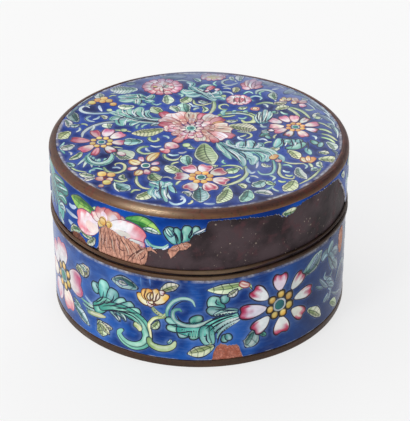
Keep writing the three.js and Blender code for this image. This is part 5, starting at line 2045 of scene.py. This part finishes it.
# %% Strokes on the base's wall
BASE_STROKES = [
    *all_of("feather", (1.7, -52, 15, -46, 14.4, -40, 16.4), (1.6, -51, 13.4, -46, 12.7, -39, 14),
            (1.5, -49, 11.8, -44, 11.4, -38, 12.6)),
    ("ink", 0.77, -50, 14.2, -45, 13.6, -40, 15), ("ink", 0.77, -49, 12.6, -44, 12.4, -40, 13.2),
    ("pale vine", 1.2, -49, 17, -45, 15.4, -41.4, 17, -39.8, 20.4),
    *all_of("lobe", (4.6, -41, 20.6, -42.4, 22.4, -42.8, 25.4),
            (5.8, -38.6, 18.6, -38.4, 22.6, -38, 27.8), (5.4, -37, 18.8, -34.4, 21.8, -33.4, 25.8),
            (4.0, -34.4, 19, -31, 20.8, -28.2, 23), (4.4, -32.6, 18.4, -27.8, 20, -25.2, 22.4),
            (4.4, -31.4, 17.6, -25.4, 18.6, -22, 20.2), (3.8, -30, 17, -24.6, 16.8, -20.6, 17)),
    ("scroll", 5.4, -44.6, 14.4, -41, 15.6, -38, 18.4, -34, 19.4),
    ("pale acanthus", 3.4, -36.6, 16.8, -33, 15.6, -31, 13),
    ("pale acanthus", 2.8, -33.4, 16.8, -30, 15.8, -28.4, 13.8),
    ("scroll", 4.4, -41.4, 15.2, -34.6, 18, -27.6, 18.2, -22, 15.6, -19.8, 11, -21.2, 7.2, -25.4, 5.4,
     -29.6, 6.2, -31.8, 8.8, -29.4, 11),
    ("cream scroll", 2.8, -25.8, 14.2, -23.4, 13.6, -22.4, 11.4),
    *all_of("ink", (0.81, -45, 14.6, -39.6, 17.4, -36.6, 21), (0.77, -43, 16.6, -39.4, 19.6, -38.4, 23),
            (0.77, -38, 18, -34.6, 20.4, -33.4, 23.4), (0.77, -36, 17.8, -31.6, 20, -29, 21.8),
            (0.77, -33, 18, -28.4, 19.4, -25.4, 20.8), (0.77, -31.4, 17.6, -26.4, 18.2, -22.6, 18.8),
            (0.85, -40, 14.6, -35, 16.6, -30, 17.4, -25.6, 17, -22.4, 15, -21, 12.6),
            (0.68, -34.6, 15.8, -32.4, 14.8, -31, 13.2), (0.68, -31.8, 16, -29.8, 15, -28.6, 14)),
    ("vine", 2.2, -48, 11.2, -43, 12, -37.6, 12.9), ("ink", 0.59, -40.6, 22.4, -42, 23.4, -42.4, 24.6),
    ("vine", 1.7, -18, 22.8, -16, 20.6, -12, 18.9), ("ink", 0.51, -17.4, 22, -15.6, 20.2, -12.8, 19),
    ("vine", 1.0, -11.6, 21.4, -13.4, 19.4, -15.4, 18.2),
    ("cream scroll", 1.5, -12.6, 18.9, -16.6, 18.2, -19, 15.4, -18.6, 12.4, -18.2, 9.6),
    ("cream scroll", 3.2, -19.4, 10.6, -18.2, 7.6, -14, 6.6, -10.2, 7.8, -8.8, 10.6),
    ("pale acanthus", 1.6, -12.4, 9.2, -11, 9.6, -10.6, 11),
    ("ink", 0.51, -18.4, 9.4, -17, 8.2, -13.6, 8, -11.8, 8.6),
    ("teal vine", 1.5, -11.8, 18.6, -11.9, 22, -9.6, 25.4, -6, 26.9, -2.8, 26.2, -1.4, 23.6),
    ("ink", 0.51, -10.8, 21, -9, 24, -6, 25.9, -3, 25.4),
    *all_of("lobe", (3.8, -4, 16.2, -8.4, 17, -13, 19), (3.8, -4, 15.6, -9, 15.2, -12.8, 15.4),
            (4.2, -1.4, 14.8, -5.6, 13.4, -8.4, 12.2), (4.0, 0.6, 14.4, -2, 12.8, -4.4, 12),
            (3.6, -3.4, 17, -2, 18.8, 1.8, 19.6)),
    ("scroll", 6.4, -9, 15.6, -2, 15, 4, 15.8, 10, 18.4, 15, 20),
    ("scroll", 5.8, 3, 17, 2.8, 12.6, 4.4, 8.4),
    *all_of("lobe", (5.4, 9.8, 22.6, 5.6, 24.6, 6.2, 28.2), (3.8, 8.4, 24.4, 9.4, 26.4, 8.4, 28.4),
            (4.4, 11, 21.4, 6, 21.8, 2.4, 23.4)),
    ("pale acanthus", 3.0, 15, 21.4, 10, 21.6, 4.6, 20.4),
    ("teal vine", 1.7, -6.4, 21.6, -7.4, 22.6, -9.6, 21.8, -9.6, 19, -7, 17, -3, 16.4, 0.4, 17, 5, 19.2),
    *all_of("ink", (0.77, -8.6, 20.6, -7, 18.2, -3.6, 17.2, 0, 17.6), (0.77, 4, 20, 8, 20.6, 14.6, 20.9),
            (0.77, 5.6, 22.6, 9.4, 22.2, 14, 21.8), (0.94, 0.6, 16, 3.6, 18, 8, 19.6, 15, 20.4),
            (0.94, 2, 15, 4.6, 17, 9, 18.9, 15, 19.8), (0.94, 3.8, 14.4, 6, 16.4, 9.8, 18, 15, 19.2)),
    ("feather", 1.8, 5, 14, 7, 15.8, 10.4, 17.6, 15.4, 18.8),
    ("ink", 0.94, 5.2, 12.8, 7, 14.8, 10.4, 16.9, 15, 18.4),
    ("feather", 1.8, 6.4, 11, 7.6, 13.6, 10.6, 15.9, 15.6, 18),
    ("ink", 0.85, 6.6, 9.4, 7.4, 12.4, 9.8, 15, 14, 17.2), ("lobe", 3.2, 8.6, 13, 9.4, 11.4, 9.2, 9.2),
    ("lobe", 3.0, 9.4, 13, 10.8, 11.6, 11.2, 9.8),
    *all_of("ink", (0.68, -4.6, 15.6, -8.6, 16, -11.6, 16.6), (0.68, -2.6, 14.6, -6, 13.8, -8.6, 13.6),
            (0.68, 2.6, 13.4, 2.6, 11, 3.8, 9.4), (0.59, 6.4, 26.8, 6, 25, 8, 24)),
    ("vine", 1.1, 17.4, 32, 18.8, 30.4, 19.6, 28.6), ("ink", 0.68, 17.2, 31.4, 19, 29.8, 20, 28.2),
    ("vine", 1.3, 4.4, 10, 3.4, 8.2, 1.4, 7),
    *all_of("hazy leaf", (4.2, 59, 28.4, 56, 30, 52.8, 28), (4.4, 58.6, 28, 59.8, 30.6, 62.8, 32.4),
            (4.6, 60, 27.6, 63.6, 27.6, 67.4, 26), (5, 58.4, 29.4, 61.6, 25, 64.2, 20),
            (3.6, 61.4, 24.4, 65, 22.4, 67.4, 18.6), (2, 63, 21, 60, 19, 56, 20.6, 57, 23),
            (1.4, 62, 12, 67, 9, 74, 7), (1.8, 49.6, 20, 54, 17.6, 58.6, 18),
            (2.6, 66, 14, 72, 18.4, 77, 17, 78, 12), (2.4, 52, 22, 57, 17, 61, 15.4),
            (2, 57, 12, 60, 10.6, 61.6, 13.4, 58.8, 15)),
    ("ink", 0.77, 58, 28.4, 61, 25.4, 63.4, 21.4), ("streak", 0.6, -22, 32.8, -21.9, 30.4, -21.8, 28),
    ("streak", 0.5, -18.4, 32.9, -18.3, 31.4, -18.2, 29.6),
]
BASE_LEAVES = [
    ("yellow leaf", -54.8, 25.6, -45.4, 29.2, 5.6, -0.1), ("yellow leaf", -54, 27.4, -48.6, 23.8, 3.6, 0.1),
    ("pale leaf", -52, 28, -47, 26.6, 2.6, 0.1), ("teal leaf", -22.6, 28.2, -34.8, 28.8, 5.6, -0.06),
    ("pale leaf", -27, 28.6, -32, 28.8, 2.6, -0.06), ("teal leaf", -57.6, 10.8, -46.4, 5.6, 4.8, 0.05),
    ("teal leaf", -57, 13, -51, 10.4, 2.4, 0),
    *all_of("yellow leaf", (-43, 10.4, -34.2, 9.4, 3.6, -0.1), (-41.6, 11, -39.6, 4.2, 6, 0.06),
            (-42, 9.6, -36, 6.2, 3.4, 0.1), (-15.2, 18, -18.6, 13.6, 3.4, 0.12),
            (-14.8, 28.6, -7, 32, 4.2, 0.06), (18.8, 31.4, 2.4, 30.2, 4.8, 0.04),
            (14.4, 30.2, 10, 27.2, 3.2, 0.1)),
    ("salmon petal", 19.2, 30.4, 14.6, 32.2, 2.8, 0.1), ("yellow leaf", 6, 8.8, -5, 5.4, 5.2, 0.05),
    ("teal leaf", 21, 13.2, 17.2, 6.2, 6.2, 0.1), ("deep leaf", 22, 11, 26, 9, 2.4, 0.1),
    ("teal leaf", 41.6, 27.2, 53.8, 33, 6.2, -0.06), ("hazy leaf", 45.6, 28, 50.6, 32.6, 2, -0.1),
    ("hazy leaf", 48, 29, 52.6, 32.2, 1.6, -0.1), ("yellow leaf", 44.8, 13, 54.4, 6, 4.6, 0.06),
    *all_of("hazy leaf", (57, 19, 62.6, 14.8, 3.4, 0.1), (55, 11.2, 60, 13.2, 2.8, -0.1),
            (58.6, 16.6, 64.8, 13, 3, 0.1)),
    ("yellow leaf", 60.6, 8.6, 68.6, 3.6, 4.2, 0.06),
]
# Two scrolls with lobes, and three leaves, that fill the gap at the right, out of sight from the front.
SIDE_STROKES = [
    ("scroll", 4.2, 84, 22, 90, 25, 97, 22.4, 98, 15.6, 93, 12, 89.4, 14.6),
    *all_of("lobe", (3.8, 86, 24.6, 82, 27.4, 79.6, 30), (3.6, 90, 26.4, 88.6, 29.4, 88, 32),
            (3.4, 94, 25.4, 95.4, 28.4, 98, 30.4)),
    ("cream scroll", 2.6, 97, 14, 92, 8.6, 86, 8.4, 84.4, 11.4),
]
SIDE_LEAVES = [
    ("yellow leaf", 96, 8, 103, 5.4, 4, 0.1), ("green leaf", 98, 27, 103, 31, 3.4, 0.1),
    ("teal leaf", 82.4, 17, 78, 13, 3.6, 0.1),
]
print(len(BASE_STROKES), "strokes and", len(BASE_LEAVES), "leaves")

# %% Flowers and buds of the base
BASE_FLOWER = [(0.3, 8.7, None, 7.8, 6.6), (8.4, 6.4, None, 8.2, 5.8), (11.6, 0.2, None, 9.8, 5.4),
               (8.8, -6, None, 8.4, 5.8), (0.9, -8.4, None, 8.2, 7.2), (-7.8, -5.6, None, 8.6, 6.4),
               (-11, 0.4, None, 11, 6.6), (-8.2, 6.2, None, 8.8, 6.2)]
LEFT_FLOWER = [(9.6, 1.6, "pink petal", 10.4, 10.4), (3.4, -8, "soft petal", 9, 8),
               (-1, 8.8, "soft petal", 10, 9.8), (-9, 5.6, "soft petal", 9, 7.8),
               (-11, -1.4, "soft petal", 9, 6.6), (-6, -7.6, "soft petal", 9, 8)]
BASE_BEADS = [(0.6, 4.2, 1.9), (4.5, 2.4, 2.0), (4.7, -1.5, 2.0), (1.7, -3.8, 1.9), (-2.3, -3.7, 1.8),
              (-4.4, -0.9, 1.8), (-3.5, 2.7, 1.8)]
ROSEBUD = [
    ("white petal", -18.2, 21.8, -17.6, 25, 3.4), ("yellow petal", -16.6, 23.6, -23.9, 27, 4.8),
    ("yellow petal", -17, 23.6, -10.6, 27.6, 4.6), ("white petal", -15.6, 28.4, -12.6, 27.8, 2.6),
    ("orange bead", -18.4, 24.4, -20.4, 29.2, 3.8), ("yellow petal", -17, 24.2, -15.2, 29.8, 4.4),
    ("orange bead", -18.2, 24.2, -18.4, 29.4, 3.6), ("yellow petal", -18.8, 24.4, -17.2, 28.2, 2.8),
]
BUD_LINES = [(-20, 24.6, -20.6, 26.4, -19.6, 28.6), (-18, 24.4, -18.4, 26.6, -17, 28.9),
             (-16.2, 24.4, -16, 26.6, -15, 28.4), (-19.4, 23.8, -16.6, 23.2, -13.6, 24.2)]


def base_flower(work, x, y, petals):
    """Eight white petals with crimson tips round a ring of big beads and a dark-rimmed eye."""
    flower(work, x, y, petals, "white petal", 8.2, 6, eye_r=None, grow=1.0)
    for dx, dy, radius in BASE_BEADS:
        work.dot("big bead", x + 0.92 * dx, y + 0.92 * dy, 1.06 * radius)
    work.dot("ink", x, y, 3.0, ends=(0.5, 0.5))
    work.dot("white ring", x, y, 2.6, base="a8bcc0", tip="c4d4d2")
    work.dot("green eye", x, y, 1.9)


def rosebud(work, turn):
    """A half-open bud of white, yellow and orange petals, with fine lines over them."""
    for name, x0, y0, x1, y1, width in ROSEBUD:
        work.leaf(name, x0 + turn, y0, x1 + turn, y1, width, 0.08, edge="4a1e18", ribs=())
    work.table(turned_strokes(all_of("crack", *((0.8, *line) for line in BUD_LINES)), turn))


def turned_strokes(rows, turn):
    """The same strokes with every angle turned about the box."""
    return [(name, width, *(v + turn * (k % 2 == 0) for k, v in enumerate(flat)))
            for name, width, *flat in rows]


def turned_leaves(rows, turn):
    """The same leaves with the angles of foot and tip turned about the box."""
    return [(name, x0 + turn, y0, x1 + turn, *rest) for name, x0, y0, x1, *rest in rows]


print("a flower of the base has", len(BASE_FLOWER), "petals and", len(BASE_BEADS), "beads")

# %% Painting on the base's wall
GLARE_MIDDLE, GLARE_SPREAD = -88, 24  # degrees; a painted grey glare covers the left side


def paint_base(name, strokes, leaves, buds, flowers, seed):
    """One part of the running pattern: strokes, then leaves, then the rosebuds, then flowers."""
    work = Painting(on_wall(base_break), (ARC_MM, 1.0), seed=seed, ground="234a96")
    work.table(strokes)
    for row in leaves:
        work.leaf(*row, border=0.75, rim=0.65)
    for turn in buds:
        rosebud(work, turn)
    for x, y, petals in flowers:
        base_flower(work, x, y, petals)
    return work.piece(name)


def base_back():
    """The hidden side: the front's simpler strokes turned half round the box, its left ones turned once
    more by 80 degrees, and the strokes for the gap at the right."""
    strokes = [row for row in BASE_STROKES if row[0] not in ("ink", "feather") and -50 < row[2] < 20]
    leaves = [row for row in BASE_LEAVES if -50 < row[1] < 25]
    left_strokes = turned_strokes([row for row in strokes if row[2] < -10], -80)
    left_leaves = turned_leaves([row for row in leaves if row[1] < -13], -80)
    return paint_base("base_painting_back", turned_strokes(strokes, 180) + left_strokes + SIDE_STROKES,
                      turned_leaves(leaves, 180) + left_leaves + SIDE_LEAVES,
                      (180, -80), [(211, 20, BASE_FLOWER), (116, 18, LEFT_FLOWER)], 1300)


base_front = paint_base("base_painting_front", BASE_STROKES, BASE_LEAVES, (0,),
                        [(31.3, 19.9, BASE_FLOWER), (-65, 17.5, LEFT_FLOWER)], 1000)
bloom_wall("base_wall_glass", [base_front, base_back()])
base_glass = bpy.data.objects["base_wall_glass"]
degrees = degrees_of(*points_of(base_glass).T[:2])
# Painted grey glare on the left of the base's glass.
float_attribute(base_glass, "haze", 0.4 * hill(degrees, GLARE_MIDDLE, GLARE_SPREAD))
# Painted shade on the right of the base's glass.
float_attribute(base_glass, "grime", 0.72 * ease(10, 54, degrees) * (1 - ease(100, 140, degrees)))

# %% [markdown]
# ## Counter-enamel
# Copper enamelled on one side only would warp and crack, so the maker also coated the inside and the
# bottom with a plain pale turquoise enamel. None of it shows while the box is closed, and it is kept plain.
# A Solidify modifier on the copper would follow every edge of it; a closed outline for each of the cup, the
# cap and the disc, carried round the axis, stops short of the rims and has rounded inner corners.

# %% The inside of the base and the lid, and the bottom
COAT = 0.35  # thickness of the plain coats
COLLAR_LOW = reach("locating_collar")[1]
INNER_R = WALL_R - 1.04  # just clear of the inside of the copper walls
CUP_FLOOR, CEILING = CUP_LOW + 1.04, LID_TOP - 1.9
CUP_CORNER, CAP_CORNER = 2.4, 3.4  # inner roundings of the coats
BOTTOM_R = 46.9


def spokes(radius, height, count=14):
    """A row of points from the axis outwards."""
    return np.stack([np.linspace(0, radius, count), np.full(count, height)], -1)


def make_counter_enamel():
    """Three plain coats: each outline runs from a pole above, outwards, and back to a pole below."""
    face_r, top, wall_top = INNER_R - COAT, CUP_FLOOR + COAT, COLLAR_LOW - 0.2
    bend_r, bend_z = face_r - CUP_CORNER, top + CUP_CORNER
    cup = [*spokes(bend_r, top), *arc(bend_r, bend_z, CUP_CORNER, -90, 0, 8)[1:], [face_r, wall_top],
           [INNER_R, wall_top], [INNER_R, bend_z], [face_r - 2, CUP_FLOOR], [0, CUP_FLOOR]]
    low, bend_r, under = LID_EDGE_Z + 5.7, face_r - CAP_CORNER, CEILING - COAT
    cap = [[0, CEILING], [INNER_R - 3.6, CEILING], [INNER_R, CEILING - 3.6], [INNER_R, low], [face_r, low],
           *arc(bend_r, under - CAP_CORNER, CAP_CORNER, 0, 90, 8), *spokes(bend_r, under)[-2::-1]]
    above, below = CUP_LOW - 0.02, CUP_LOW - COAT + 0.1
    bottom = [[0, above], [BOTTOM_R, above], [BOTTOM_R, below], [0, below]]
    for name, outline in (("base_inside_enamel", cup), ("lid_inside_enamel", cap),
                          ("base_bottom_enamel", bottom)):
        turned_disc(name, np.array(outline), INSIDE, around=180)


make_counter_enamel()

# %% End
print("every piece is made")
